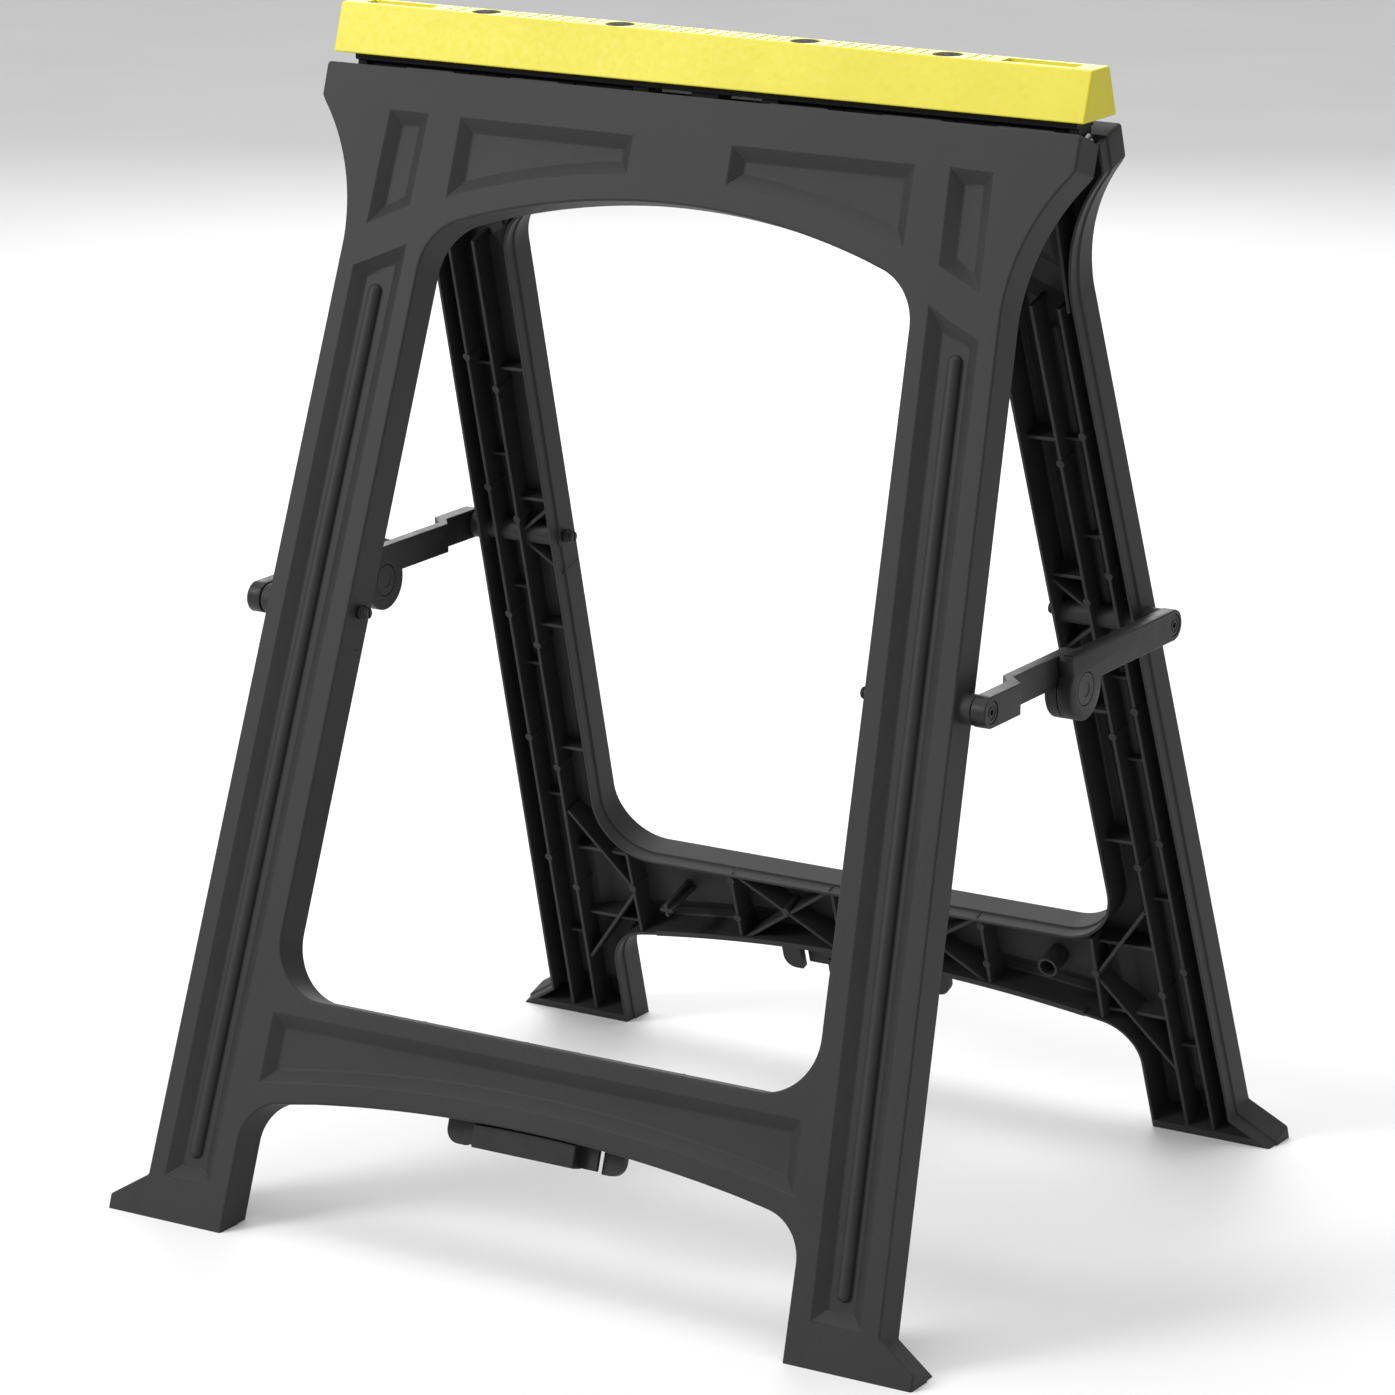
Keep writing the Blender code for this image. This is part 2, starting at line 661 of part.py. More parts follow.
def hinge_carrier():
    """Beam inside the rail, hollow from above, with the plates that hang from it and hold the rod."""
    end = LUGS[-1][1] * MM
    wide = CARRIER_HALF_WIDTH
    body = box((-end, -wide, CARRIER_BOTTOM), (end, wide, CARRIER_TOP), "carrier_body")
    stops = [(low + high) / 2 * MM for low, high in LUGS]
    inside = wide - CARRIER_WALL
    hollows = [box((start + CARRIER_WALL, -inside, CARRIER_BOTTOM + CARRIER_WALL),
                   (stop - CARRIER_WALL, inside, CARRIER_TOP + 1 * MM))
               for start, stop in zip(stops, stops[1:])]
    half = LUG_HALF_WIDTH
    outline = arc((0, HINGE_Z), half, 180, 360, 8)
    outline += [(half, CARRIER_BOTTOM + 1 * MM), (-half, CARRIER_BOTTOM + 1 * MM)]
    lugs = [prism_x(outline, low * MM, high * MM, "lug") for low, high in LUGS]
    way = rod_between((-265 * MM, 0, HINGE_Z), (265 * MM, 0, HINGE_Z), ROD_RADIUS + 0.3 * MM, 20)
    boolean(body, "DIFFERENCE", hollows, "carrier_inside")
    boolean(body, "UNION", lugs, "carrier_lugs")
    boolean(body, "DIFFERENCE", [way], "rod_way")
    place("hinge_carrier", finished_mesh(body, "hinge_carrier"), "link_plastic")


def top_rail():
    outer = prism_x(rail_profile(0, RAIL_BOTTOM, HEIGHT), -RAIL_HALF, RAIL_HALF, "rail_body")
    inner = prism_x(rail_profile(RAIL_WALL, RAIL_BOTTOM - 1 * MM, HEIGHT - RAIL_ROOF),
                    -RAIL_HALF + RAIL_WALL, RAIL_HALF - RAIL_WALL, "rail_hollow")
    cuts = []
    for across in PAD_PLACES:
        cuts.append(rod_between((across * MM, 0, HEIGHT - PAD_DEPTH - 0.3 * MM),
                                (across * MM, 0, HEIGHT + 1 * MM), PAD_RADIUS + 0.3 * MM, 28))
    for side in (-1, 1):
        low, high = sorted(side * across for across in RECESS)
        cuts.append(box((low, -RECESS_HALF_WIDTH, HEIGHT - RECESS_DEPTH),
                        (high, RECESS_HALF_WIDTH, HEIGHT + 1 * MM), "end_recess"))
    boolean(outer, "DIFFERENCE", [inner], "rail_inside")
    boolean(outer, "DIFFERENCE", cuts, "rail_cuts")
    place("top_rail", finished_mesh(outer, "top_rail"), "yellow_plastic")


def rail_hardware(root):
    pad = rod_between((0, 0, -PAD_DEPTH), (0, 0, -0.1 * MM), PAD_RADIUS, 28)
    pad_mesh = finished_mesh(pad, "grip_pad")
    for number, across in enumerate(PAD_PLACES, 1):
        place(f"grip_pad_{number}", pad_mesh, "rubber", root, (across * MM, 0, HEIGHT - HINGE_Z))
    rod = rod_between((-ROD_HALF, 0, 0), (ROD_HALF, 0, 0), ROD_RADIUS, 20)
    place("hinge_rod", finished_mesh(rod, "hinge_rod"), "steel", root)
    thick = 1.5 * MM
    nut = rod_between((-thick / 2, 0, 0), (thick / 2, 0, 0), 6 * MM, 20)
    bore = rod_between((-thick, 0, 0), (thick, 0, 0), ROD_RADIUS + 0.3 * MM, 20)
    boolean(nut, "DIFFERENCE", [bore], "nut_bore")
    nut_mesh = finished_mesh(nut, "rod_push_nut")
    for name, side in (("right", 1), ("left", -1)):
        place(f"rod_push_nut_{name}", nut_mesh, "steel", root, (side * 263.25 * MM, 0, 0))


# ---------------------------------------------------------------- braces

def link_outline(start, end):
    """Side view of a brace link: end eye, bar, and the joint disc that hangs below the bar."""
    half = LINK_HALF_HEIGHT
    reach = PIVOT_Y
    notch = math.sqrt(DISC_RADIUS ** 2 - (DISC_DROP - half) ** 2)
    first = math.degrees(math.asin((half - DISC_DROP) / DISC_RADIUS))
    points = []
    if start <= 0:
        points += [(y, z) for y, z in arc((0, 0), half, 270, 90, 12)]
    else:
        points += [(start, -half), (start, half)]
    if end >= reach:
        points += [(reach - notch, half)]
        points += arc((reach, DISC_DROP), DISC_RADIUS, 180 - first, -40, 18)[1:]
        points += [(reach + 4 * MM, -half)]
    else:
        points += [(end, half), (end, -half)]
    return points


def link_mesh(cranked):
    """A link along +Y from its end eye at the origin, with its outer face at LINK_OUTER_X."""
    inner_face = LINK_OUTER_X - LINK_THICK
    whole = PIVOT_Y + DISC_RADIUS

    def slab(start, end, low, high):
        outline = [(y, -drop) for y, drop in link_outline(start, end)]
        return prism_x(outline, low, high, "link")

    layer = (inner_face, LINK_OUTER_X)
    if cranked:
        body = slab(0, CRANK[1], *layer)
        layer = (LAP_INNER_X, inner_face - CLEARANCE)
        step = prism_x([(CRANK[0], -LINK_HALF_HEIGHT), (CRANK[1], -LINK_HALF_HEIGHT),
                        (CRANK[1], LINK_HALF_HEIGHT), (CRANK[0], LINK_HALF_HEIGHT)],
                       LAP_INNER_X + 1 * MM, LINK_OUTER_X - 1 * MM, "step")
        boolean(body, "UNION", [slab(CRANK[0], whole, *layer), step], "link_union")
    else:
        body = slab(0, whole, *layer)
    low, high = LAP_INNER_X - 1 * MM, LINK_OUTER_X + 1 * MM
    cuts = [rod_between((low, 0, 0), (high, 0, 0), PIN_RADIUS + 0.3 * MM, 20),
            rod_between((LINK_OUTER_X - 3.3 * MM, 0, 0), (high, 0, 0), PIN_HEAD_RADIUS + 0.3 * MM, 24),
            rod_between((low, PIVOT_Y, -DISC_DROP), (high, PIVOT_Y, -DISC_DROP),
                        JOINT_PIN_RADIUS + 0.3 * MM, 24)]
    boolean(body, "DIFFERENCE", cuts, "link_holes")
    return finished_mesh(body, "cranked_link" if cranked else "straight_link")


def facing_back(mesh, name):
    """A link's mesh mirrored so that it runs along -Y from its end eye."""
    copy = mesh.copy()
    copy.name = name
    copy.transform(Matrix.Diagonal((1, -1, 1, 1)))
    copy.flip_normals()
    return copy


def pivot_pin_mesh():
    """Pin through a leg: head in the link, split snap end past the opening side."""
    shaft = rod_between((PIN_INNER_END, 0, 0), (LINK_OUTER_X - 0.4 * MM, 0, 0), PIN_RADIUS, 20)
    outer = LINK_OUTER_X - 0.4 * MM
    head = rod_between((LINK_OUTER_X - 3 * MM, 0, 0), (outer, 0, 0), PIN_HEAD_RADIUS, 24)
    barb = rod_between((PIN_INNER_END, 0, 0), (FLANGE_AT_PIVOT - 1.2 * MM, 0, 0), 3.6 * MM, 20,
                       end_radius=5.4 * MM)
    socket = rod_between((outer - 2.2 * MM, 0, 0), (outer + 1 * MM, 0, 0), 2.6 * MM, 6)
    slot = box((PIN_INNER_END - 1 * MM, -0.8 * MM, -8 * MM),
               (PIN_INNER_END + 7 * MM, 0.8 * MM, 8 * MM), "slot")
    boolean(shaft, "UNION", [head, barb], "pin_union")
    boolean(shaft, "DIFFERENCE", [socket, slot], "pin_cuts")
    return finished_mesh(shaft, "pivot_pin")


def joint_pin_mesh(low, high, head_at):
    """Half of the joint pin between two links: a plug with a wider rim on one side."""
    body = rod_between((low, 0, 0), (high, 0, 0), JOINT_PIN_RADIUS, 24)
    dimple = rod_between((head_at - 1.2 * MM, 0, 0), (head_at + 1.2 * MM, 0, 0), 3 * MM, 16)
    boolean(body, "DIFFERENCE", [dimple], "joint_pin_dimple")
    return finished_mesh(body, "joint_pin")


def braces():
    """Two folding braces; the left one is the right one turned half a turn about the middle."""
    cranked = link_mesh(True)
    straight = facing_back(link_mesh(False), "straight_link")
    pin = pivot_pin_mesh()
    outer_pin = joint_pin_mesh(LINK_OUTER_X - LINK_THICK + 0.1 * MM, LINK_OUTER_X, LINK_OUTER_X)
    inner_pin = joint_pin_mesh(LAP_INNER_X, LINK_OUTER_X - LINK_THICK - 0.6 * MM, LAP_INNER_X)
    for side, turn in (("right", 0), ("left", math.pi)):
        facing = -1 if turn == 0 else 1
        near, far = ("front", "rear") if turn == 0 else ("rear", "front")
        near_eye = empty(f"{side}_{near}_brace_pivot", (0, facing * PIVOT_Y, PIVOT_Z), (0, 0, turn))
        far_eye = empty(f"{side}_{far}_brace_pivot", (0, -facing * PIVOT_Y, PIVOT_Z), (0, 0, turn))
        place(f"{side}_{near}_link", cranked, "link_plastic", near_eye)
        place(f"{side}_{far}_link", straight, "link_plastic", far_eye)
        place(f"{side}_{near}_pivot_pin", pin, "link_plastic", near_eye)
        place(f"{side}_{far}_pivot_pin", pin, "link_plastic", far_eye)
        place(f"{side}_joint_pin_inner", inner_pin, "link_plastic", near_eye, (0, PIVOT_Y, -DISC_DROP))
        place(f"{side}_joint_pin_outer", outer_pin, "link_plastic", far_eye, (0, -PIVOT_Y, -DISC_DROP))


# ---------------------------------------------------------------- latch

def tab_outline(half, gap, bottom):
    """Outline of a plate of the pull tab, its top following the crossbar's lower edge."""
    top = [(across, bar_drop(across) + gap) for across in spread(-half, half, 8)]
    return top + [(half, bottom), (-half, bottom)]


def latch_tab_mesh():
    """Pull tab on a wider back plate, with a guide post up into the crossbar and a hook behind."""
    body = plate([tab_outline(TAB_HALF, TAB_GAP + 0.5 * MM, TAB_BOTTOM)],
                 TAB_BACK + 1 * MM, TAB_FRONT, "tab")
    back_plate = plate([tab_outline(TAB_PLATE_HALF, TAB_GAP, TAB_BOTTOM - 0.5 * MM)],
                       TAB_BACK, TAB_BACK + 3 * MM, "back_plate")
    roof = -BAR_BOTTOM - TAB_GAP - TAB_ROOF
    hollow = box((-TAB_HALF + 2.5 * MM, -TAB_FRONT + 2.8 * MM, -TAB_BOTTOM - 1 * MM),
                 (TAB_HALF - 2.5 * MM, -TAB_BACK - 2.5 * MM, roof))
    guide = rod_between((0, -GUIDE_DEPTH, roof + 1.5 * MM), (0, -GUIDE_DEPTH, -GUIDE_TOP),
                        GUIDE_RADIUS, 16)
    low, high = HOOK
    arm = box((low, -TAB_BACK - 1 * MM, -656 * MM), (high, 7 * MM, -652 * MM), "hook_arm")
    barb = box((low, 3.5 * MM, -655.5 * MM), (high, 6.8 * MM, -645.5 * MM), "hook_barb")
    boolean(body, "UNION", [back_plate], "tab_plate")
    boolean(body, "DIFFERENCE", [hollow], "tab_hollow")
    boolean(body, "UNION", [guide, arm, barb], "tab_union")
    mesh = finished_mesh(body, "latch_tab")
    mesh.transform(Matrix.Translation((0, GUIDE_DEPTH, 0)))
    return mesh


def latch_clip_mesh():
    """Push-on washer that holds the spring on the guide post."""
    washer = rod_between((0, 0, -1.2 * MM), (0, 0, 0), 6 * MM, 20)
    bore = rod_between((0, 0, -3 * MM), (0, 0, 2 * MM), GUIDE_RADIUS + 0.3 * MM, 16)
    boolean(washer, "DIFFERENCE", [bore], "clip_bore")
    return finished_mesh(washer, "latch_clip")


def latch_spring_mesh(length):
    """Compression spring round the guide post, standing on the crossbar's lower wall."""
    turns = 4
    per_turn = 8
    coil_radius = 4.6 * MM
    curve = bpy.data.curves.new("spring", "CURVE")
    curve.dimensions = "3D"
    curve.bevel_depth = 0.5 * MM
    curve.bevel_resolution = 0
    curve.use_fill_caps = True
    spline = curve.splines.new("POLY")
    count = turns * per_turn + 1
    spline.points.add(count - 1)
    for index, point in enumerate(spline.points):
        angle = 2 * math.pi * index / per_turn
        height = -length * index / (count - 1)
        point.co = (coil_radius * math.cos(angle), coil_radius * math.sin(angle), height, 1)
    holder = link_cutter(bpy.data.objects.new("spring", curve))
    bpy.context.view_layer.update()
    graph = bpy.context.evaluated_depsgraph_get()
    mesh = bpy.data.meshes.new_from_object(holder.evaluated_get(graph), depsgraph=graph)
    bpy.data.objects.remove(holder)
    bm = bmesh.new()
    bm.from_mesh(mesh)
    bmesh.ops.remove_doubles(bm, verts=bm.verts, dist=0.00001)
    bmesh.ops.recalc_face_normals(bm, faces=bm.faces)
    bm.to_mesh(mesh)
    bm.free()
    return mesh


def latches(hinges):
    tab = latch_tab_mesh()
    clip = latch_clip_mesh()
    seat = BAR_BOTTOM - WALL - 1 * MM
    clip_under = GUIDE_TOP + 1.4 * MM
    spring = latch_spring_mesh(seat - clip_under - 2 * MM)
    for name, hinge in hinges.items():
        guide = empty(f"{name}_latch_guide", (0, -GUIDE_DEPTH, 0), parent=hinge)
        place(f"{name}_latch_tab", tab, "link_plastic", guide)
        place(f"{name}_latch_clip", clip, "steel", guide, (0, 0, -GUIDE_TOP - 0.2 * MM))
        place(f"{name}_latch_spring", spring, "steel", guide, (0, 0, -clip_under - 1 * MM))


# ---------------------------------------------------------------- assembly

clear_scene()
PARTS = new_collection("folding_sawhorse")
CUTTERS = new_collection("cutters")
MATERIALS = {name: make_material(name) for name in COLOURS}

rail_axis = empty("hinge_axis", (0, 0, HINGE_Z))
top_rail()
hinge_carrier()
rail_hardware(rail_axis)

frame_mesh = leg_frame_mesh()
front_hinge = empty("front_hinge", (0, 0, HINGE_Z), (-LEAN, 0, 0))
rear_hinge = empty("rear_hinge", (0, 0, HINGE_Z), (-LEAN, 0, math.pi))
place("front_leg_frame", frame_mesh, "black_plastic", front_hinge)
place("rear_leg_frame", frame_mesh, "black_plastic", rear_hinge)
latches({"front": front_hinge, "rear": rear_hinge})
braces()
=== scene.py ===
"""Looks of the folding sawhorse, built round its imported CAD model.

X runs along the top rail, -Y to the front, +Z up, in metres. A leg frame is modelled hanging straight
down from its hinge axis, as (across, drop) outlines at a depth towards its outer face, and then leaned.
"""
import json
import math

import bmesh
import bpy
from mathutils import Matrix, Vector


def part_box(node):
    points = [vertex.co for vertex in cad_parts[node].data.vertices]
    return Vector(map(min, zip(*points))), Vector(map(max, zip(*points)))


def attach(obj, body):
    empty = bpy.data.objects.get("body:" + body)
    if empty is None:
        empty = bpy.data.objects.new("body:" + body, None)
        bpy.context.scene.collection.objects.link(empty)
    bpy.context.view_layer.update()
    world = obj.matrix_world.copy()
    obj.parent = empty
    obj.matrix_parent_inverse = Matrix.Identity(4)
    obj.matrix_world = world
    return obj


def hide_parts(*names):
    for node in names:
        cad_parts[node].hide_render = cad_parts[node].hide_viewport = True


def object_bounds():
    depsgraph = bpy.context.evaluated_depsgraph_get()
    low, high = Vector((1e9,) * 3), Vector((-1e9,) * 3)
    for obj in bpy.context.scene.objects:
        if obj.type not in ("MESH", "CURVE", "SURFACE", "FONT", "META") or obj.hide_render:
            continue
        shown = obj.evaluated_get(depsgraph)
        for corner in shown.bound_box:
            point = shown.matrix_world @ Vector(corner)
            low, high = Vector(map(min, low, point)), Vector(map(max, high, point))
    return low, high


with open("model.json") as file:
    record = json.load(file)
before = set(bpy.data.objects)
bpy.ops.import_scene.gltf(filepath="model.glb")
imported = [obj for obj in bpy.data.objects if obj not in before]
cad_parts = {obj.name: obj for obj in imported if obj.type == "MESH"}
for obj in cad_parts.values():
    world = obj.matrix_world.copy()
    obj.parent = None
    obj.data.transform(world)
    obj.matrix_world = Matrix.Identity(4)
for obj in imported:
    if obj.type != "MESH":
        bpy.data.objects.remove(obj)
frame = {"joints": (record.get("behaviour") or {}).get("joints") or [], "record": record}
CAD_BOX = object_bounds()

MM = 0.001
JOINTS = {joint["name"]: joint for joint in frame["joints"]}
HINGE = Vector(JOINTS["front_fold"]["pos_m"])
LEAN = math.radians(JOINTS["front_fold"]["range_deg"][1])
PIVOT = Vector(JOINTS["right_rear_link_pivot"]["pos_m"])
HEIGHT = CAD_BOX[1].z

# Leg frame: outline, across and below the hinge axis
DEPTH = 28 * MM
FRAME_TOP = -1.2 * MM
TOP_HALF = 272.3 * MM
SHOULDER_DROP = 20.8 * MM
WAIST_HALF = 238.4 * MM
WAIST_DROP = 111 * MM
SHOULDER_RADIUS = 134.6 * MM
ANKLE_HALF = 269.5 * MM
ANKLE_DROP = 722.7 * MM
TOE_HALF = 296 * MM
TOE_DROP = 740 * MM
FOOT_INNER_HALF = 207.8 * MM
BELOW_FLOOR = 765 * MM

# Leg frame: window and crossbar
ARCH_TOP = 66.4 * MM
ARCH_RADIUS = 480 * MM
WINDOW_HALF_TOP = 177.0 * MM
WINDOW_HALF_BOTTOM = 199.5 * MM
WINDOW_BOTTOM = 593 * MM
CORNER_RADIUS = 37 * MM
BAR_BOTTOM = 646.4 * MM
BAR_RADIUS = 1100 * MM
BAR_CORNER = 30 * MM
BAR_END_HALF = 205.3 * MM

# Leg frame: shell
WALL = 3.2 * MM
WEB = 3.5 * MM
RIM_DEPTH = 0.5 * MM            # back edge of the walls
BAND_DEPTH = 9.5 * MM           # the walls are set in behind this depth
BAND_INSET = 1.2 * MM
FACE_ROUND = 1.5 * MM
SOLE_DROP = 735 * MM            # the hollow ends this far below the axis
POCKET_DEPTH = 5.5 * MM
POCKET_SLOPE = 8.5 * MM
BACKING = 3 * MM
RIB = 2.4 * MM
BEAD_RADIUS = 5 * MM
DOT_RADIUS = 2.8 * MM
PIN_DROP = 345.4 * MM
PIN_DEPTH = 14.6 * MM
LEG_RIB_INSETS = (28 * MM, 47.5 * MM)
LEG_RIB_TOP = 118 * MM
LOW_TIE_DROPS = (216 * MM, 316 * MM, 416 * MM, 516 * MM)
HIGH_TIE_DROPS = (216 * MM, 286 * MM, 390 * MM, 452 * MM, 560 * MM, 676 * MM)
BAR_RIB_PLACES = (97.5 * MM, 17 * MM)
BAR_END_RIB = 181 * MM

# Hinge, rail and braces
ROD_RADIUS = 3 * MM
KNUCKLE_RADIUS = 8 * MM
KNUCKLE_RELIEF = 9.5 * MM
KNUCKLES = [(55.5, 97), (135.5, 175.5), (215, 252.5), (-134, -98.5), (-213.5, -177)]
LUGS = [(-261.5, -254.5), (-53, -41), (-10, 10), (41, 53), (254.5, 261.5)]
RAIL_HALF = 271.3 * MM
RAIL_BOTTOM = 719 * MM
RAIL_HALF_WIDTH = 21.4 * MM
RAIL_TOP_HALF_WIDTH = 11.3 * MM
CARRIER_BOTTOM = 713.5 * MM
CARRIER_TOP = 740 * MM
LINK_OUTER = 269.4 * MM
LINK_THICK = 10 * MM
LAP_INNER = 250.9 * MM
LAP_GAP = 0.5 * MM
CRANK = (36 * MM, 47 * MM)      # where a cranked link steps inwards
LINK_HALF = 10 * MM
DISC_RADIUS = 20 * MM
DISC_DROP = 13.4 * MM
PIN_RADIUS = 4 * MM
JOINT_PIN_RADIUS = 6 * MM
REACH = PIVOT.y
FLANGE_AT_PIVOT = 187.6 * MM
PIN_INNER_END = 180.5 * MM
POST_X = 145 * MM
POST_DROP = 624 * MM


# ---------------------------------------------------------------- meshes and modelling helpers

def add_object(name, mesh):
    obj = bpy.data.objects.new(name, mesh)
    bpy.context.scene.collection.objects.link(obj)
    return obj


def object_from(bm, name="part"):
    mesh = bpy.data.meshes.new(name)
    bm.to_mesh(mesh)
    bm.free()
    return add_object(name, mesh)


def evaluated_mesh(obj):
    """The mesh that an object's modifiers give; the object is removed."""
    bpy.context.view_layer.update()
    graph = bpy.context.evaluated_depsgraph_get()
    mesh = bpy.data.meshes.new_from_object(
        obj.evaluated_get(graph), preserve_all_data_layers=True, depsgraph=graph)
    bpy.data.objects.remove(obj)
    return mesh


def combine(target, operation, tools):
    """Add, cut or keep several solids at once with one exact Boolean; the tools are removed."""
    group = bpy.data.collections.new("tools")
    bpy.context.scene.collection.children.link(group)
    for tool in tools:
        group.objects.link(tool)
    modifier = target.modifiers.new("combine", "BOOLEAN")
    modifier.operation = operation
    modifier.solver = "EXACT"
    modifier.operand_type = "COLLECTION"
    modifier.collection = group
    name = target.name
    mesh = evaluated_mesh(target)
    for tool in tools:
        bpy.data.objects.remove(tool)
    bpy.data.collections.remove(group)
    return add_object(name, mesh)


def cleaned(obj, merge=0.004 * MM):
    bm = bmesh.new()
    bm.from_mesh(obj.data)
    bmesh.ops.remove_doubles(bm, verts=bm.verts, dist=merge)
    bmesh.ops.dissolve_degenerate(bm, edges=bm.edges, dist=merge)
    bm.to_mesh(obj.data)
    bm.free()
    return obj


def finished(obj, name, sharp=35):
    """Smooth shading with face-weighted normals and sharp edges above an angle, as a final mesh."""
    cleaned(obj)
    obj.data.shade_smooth()
    obj.data.set_sharp_from_angle(angle=math.radians(sharp))
    modifier = obj.modifiers.new("normals", "WEIGHTED_NORMAL")
    modifier.keep_sharp = True
    modifier.weight = 80
    mesh = evaluated_mesh(obj)
    mesh.name = name
    return mesh


def block(low, high, soft=0.0, segments=2):
    """A box, with its edges rounded where soft is given."""
    bm = bmesh.new()
    bmesh.ops.create_cube(bm, size=1)
    low, high = Vector(low), Vector(high)
    bmesh.ops.scale(bm, vec=high - low, verts=bm.verts)
    bmesh.ops.translate(bm, vec=(low + high) / 2, verts=bm.verts)
    if soft:
        bmesh.ops.bevel(bm, geom=bm.edges[:], offset=soft, segments=segments, profile=0.5,
                        affect="EDGES")
    return object_from(bm)


def round_bar(start, end, radius, segments=32, soft=0.0):
    """A cylinder from one point to another, with its end edges rounded where soft is given."""
    start, end = Vector(start), Vector(end)
    bm = bmesh.new()
    bmesh.ops.create_cone(bm, cap_ends=True, segments=segments, radius1=radius, radius2=radius,
                          depth=(end - start).length)
    if soft:
        rims = [edge for edge in bm.edges if any(len(face.verts) > 4 for face in edge.link_faces)]
        bmesh.ops.bevel(bm, geom=rims, offset=soft, segments=2, profile=0.5, affect="EDGES")
    turn = Vector((0, 0, 1)).rotation_difference(end - start).to_matrix().to_4x4()
    bmesh.ops.transform(bm, matrix=Matrix.Translation((start + end) / 2) @ turn, verts=bm.verts)
    return object_from(bm)


def turned(profile, segments=48):
    """A solid of revolution about X from (x, radius) points that start and end on the axis."""
    bm = bmesh.new()
    verts = [bm.verts.new((along, 0, radius)) for along, radius in profile]
    edges = [bm.edges.new(pair) for pair in zip(verts, verts[1:])]
    bmesh.ops.spin(bm, geom=verts + edges, cent=(0, 0, 0), axis=(1, 0, 0), angle=2 * math.pi,
                   steps=segments, use_merge=True)
    bmesh.ops.remove_doubles(bm, verts=bm.verts, dist=0.002 * MM)
    bmesh.ops.recalc_face_normals(bm, faces=bm.faces)
    return object_from(bm)


def capsule(start, end, radius, segments=32):
    """A bar with round ends."""
    start, end = Vector(start), Vector(end)
    length = (end - start).length
    bm = bmesh.new()
    bmesh.ops.create_uvsphere(bm, u_segments=segments, v_segments=13, radius=radius)
    for vert in bm.verts:
        vert.co.z += math.copysign(length / 2, vert.co.z)
    turn = Vector((0, 0, 1)).rotation_difference(end - start).to_matrix().to_4x4()
    bmesh.ops.transform(bm, matrix=Matrix.Translation((start + end) / 2) @ turn, verts=bm.verts)
    return object_from(bm)


def prism(outline, low, high, place, soft=0.0, segments=2):
    """A flat outline given thickness. place(u, v, t) turns outline points and thickness into space."""
    bm = bmesh.new()
    verts = [bm.verts.new(place(u, v, low)) for u, v in outline]
    face = bm.faces.new(verts)
    grown = bmesh.ops.extrude_face_region(bm, geom=[face])
    moved = [item for item in grown["geom"] if isinstance(item, bmesh.types.BMVert)]
    shift = Vector(place(0, 0, high)) - Vector(place(0, 0, low))
    bmesh.ops.translate(bm, vec=shift, verts=moved)
    bmesh.ops.recalc_face_normals(bm, faces=bm.faces)
    if soft:
        rims = [edge for edge in bm.edges if any(len(face.verts) > 4 for face in edge.link_faces)]
        bmesh.ops.bevel(bm, geom=rims, offset=soft, segments=segments, profile=0.5, affect="EDGES",
                        clamp_overlap=True)
    return object_from(bm)


def in_panel(across, drop, depth):
    """A point of a leg frame's own space from its place across, below and in front of the hinge."""
    return (across, -depth, -drop)


def along_x(y, z, x):
    return (x, y, z)


def across_plan(y, x, z):
    return (x, y, z)


# ---------------------------------------------------------------- outlines

def arc(centre, radius, start, end, steps):
    """Points on an arc, angles in degrees from the first axis towards the second."""
    points = []
    for step in range(steps + 1):
        angle = math.radians(start + (end - start) * step / steps)
        points.append((centre[0] + radius * math.cos(angle), centre[1] + radius * math.sin(angle)))
    return points


def spread(low, high, steps):
    return [low + (high - low) * step / steps for step in range(steps + 1)]


def fillet(before, corner, after, radius, steps):
    """Points of an arc that rounds a corner between two straight directions."""
    corner = Vector(corner)
    back = (Vector(before) - corner).normalized()
    ahead = (Vector(after) - corner).normalized()
    half = math.acos(max(-1, min(1, back.dot(ahead)))) / 2
    centre = corner + (back + ahead).normalized() * (radius / math.sin(half))
    reach = radius / math.tan(half)
    first = corner + back * reach - centre
    last = corner + ahead * reach - centre
    turn = math.atan2(first.x * last.y - first.y * last.x, first.dot(last))
    return [tuple(centre + Matrix.Rotation(turn * step / steps, 2) @ first)
            for step in range(steps + 1)]


def offset(outline, amount):
    """An outline moved to its left as it runs, with sharp corners kept sharp."""
    count = len(outline)
    moved = []
    for index in range(count):
        here = Vector(outline[index])
        back = (here - Vector(outline[index - 1])).normalized()
        ahead = (Vector(outline[(index + 1) % count]) - here).normalized()
        side = Vector((-back.y, back.x))
        middle = (side + Vector((-ahead.y, ahead.x))).normalized()
        moved.append(tuple(here + middle * amount / max(0.35, middle.dot(side))))
    return moved


def softened(outline, corners, steps=3):
    """An outline with some corners rounded; corners maps a point's place in the list to a radius."""
    count = len(outline)
    points = []
    for index, point in enumerate(outline):
        if corners.get(index):
            points += fillet(outline[index - 1], point, outline[(index + 1) % count],
                             corners[index], steps)
        else:
            points.append(point)
    return points


def mirrored(right, radii=()):
    """A closed outline, and its corner radii by place, from its right half."""
    left = [(-across, drop) for across, drop in reversed(right)]
    kept = [place for place, point in enumerate(left) if abs(point[0]) > 0.1 * MM]
    outline = right + [left[place] for place in kept]
    corners = dict(radii)
    for place, radius in dict(radii).items():
        corners[len(right) + kept.index(len(right) - 1 - place)] = radius
    return outline, corners


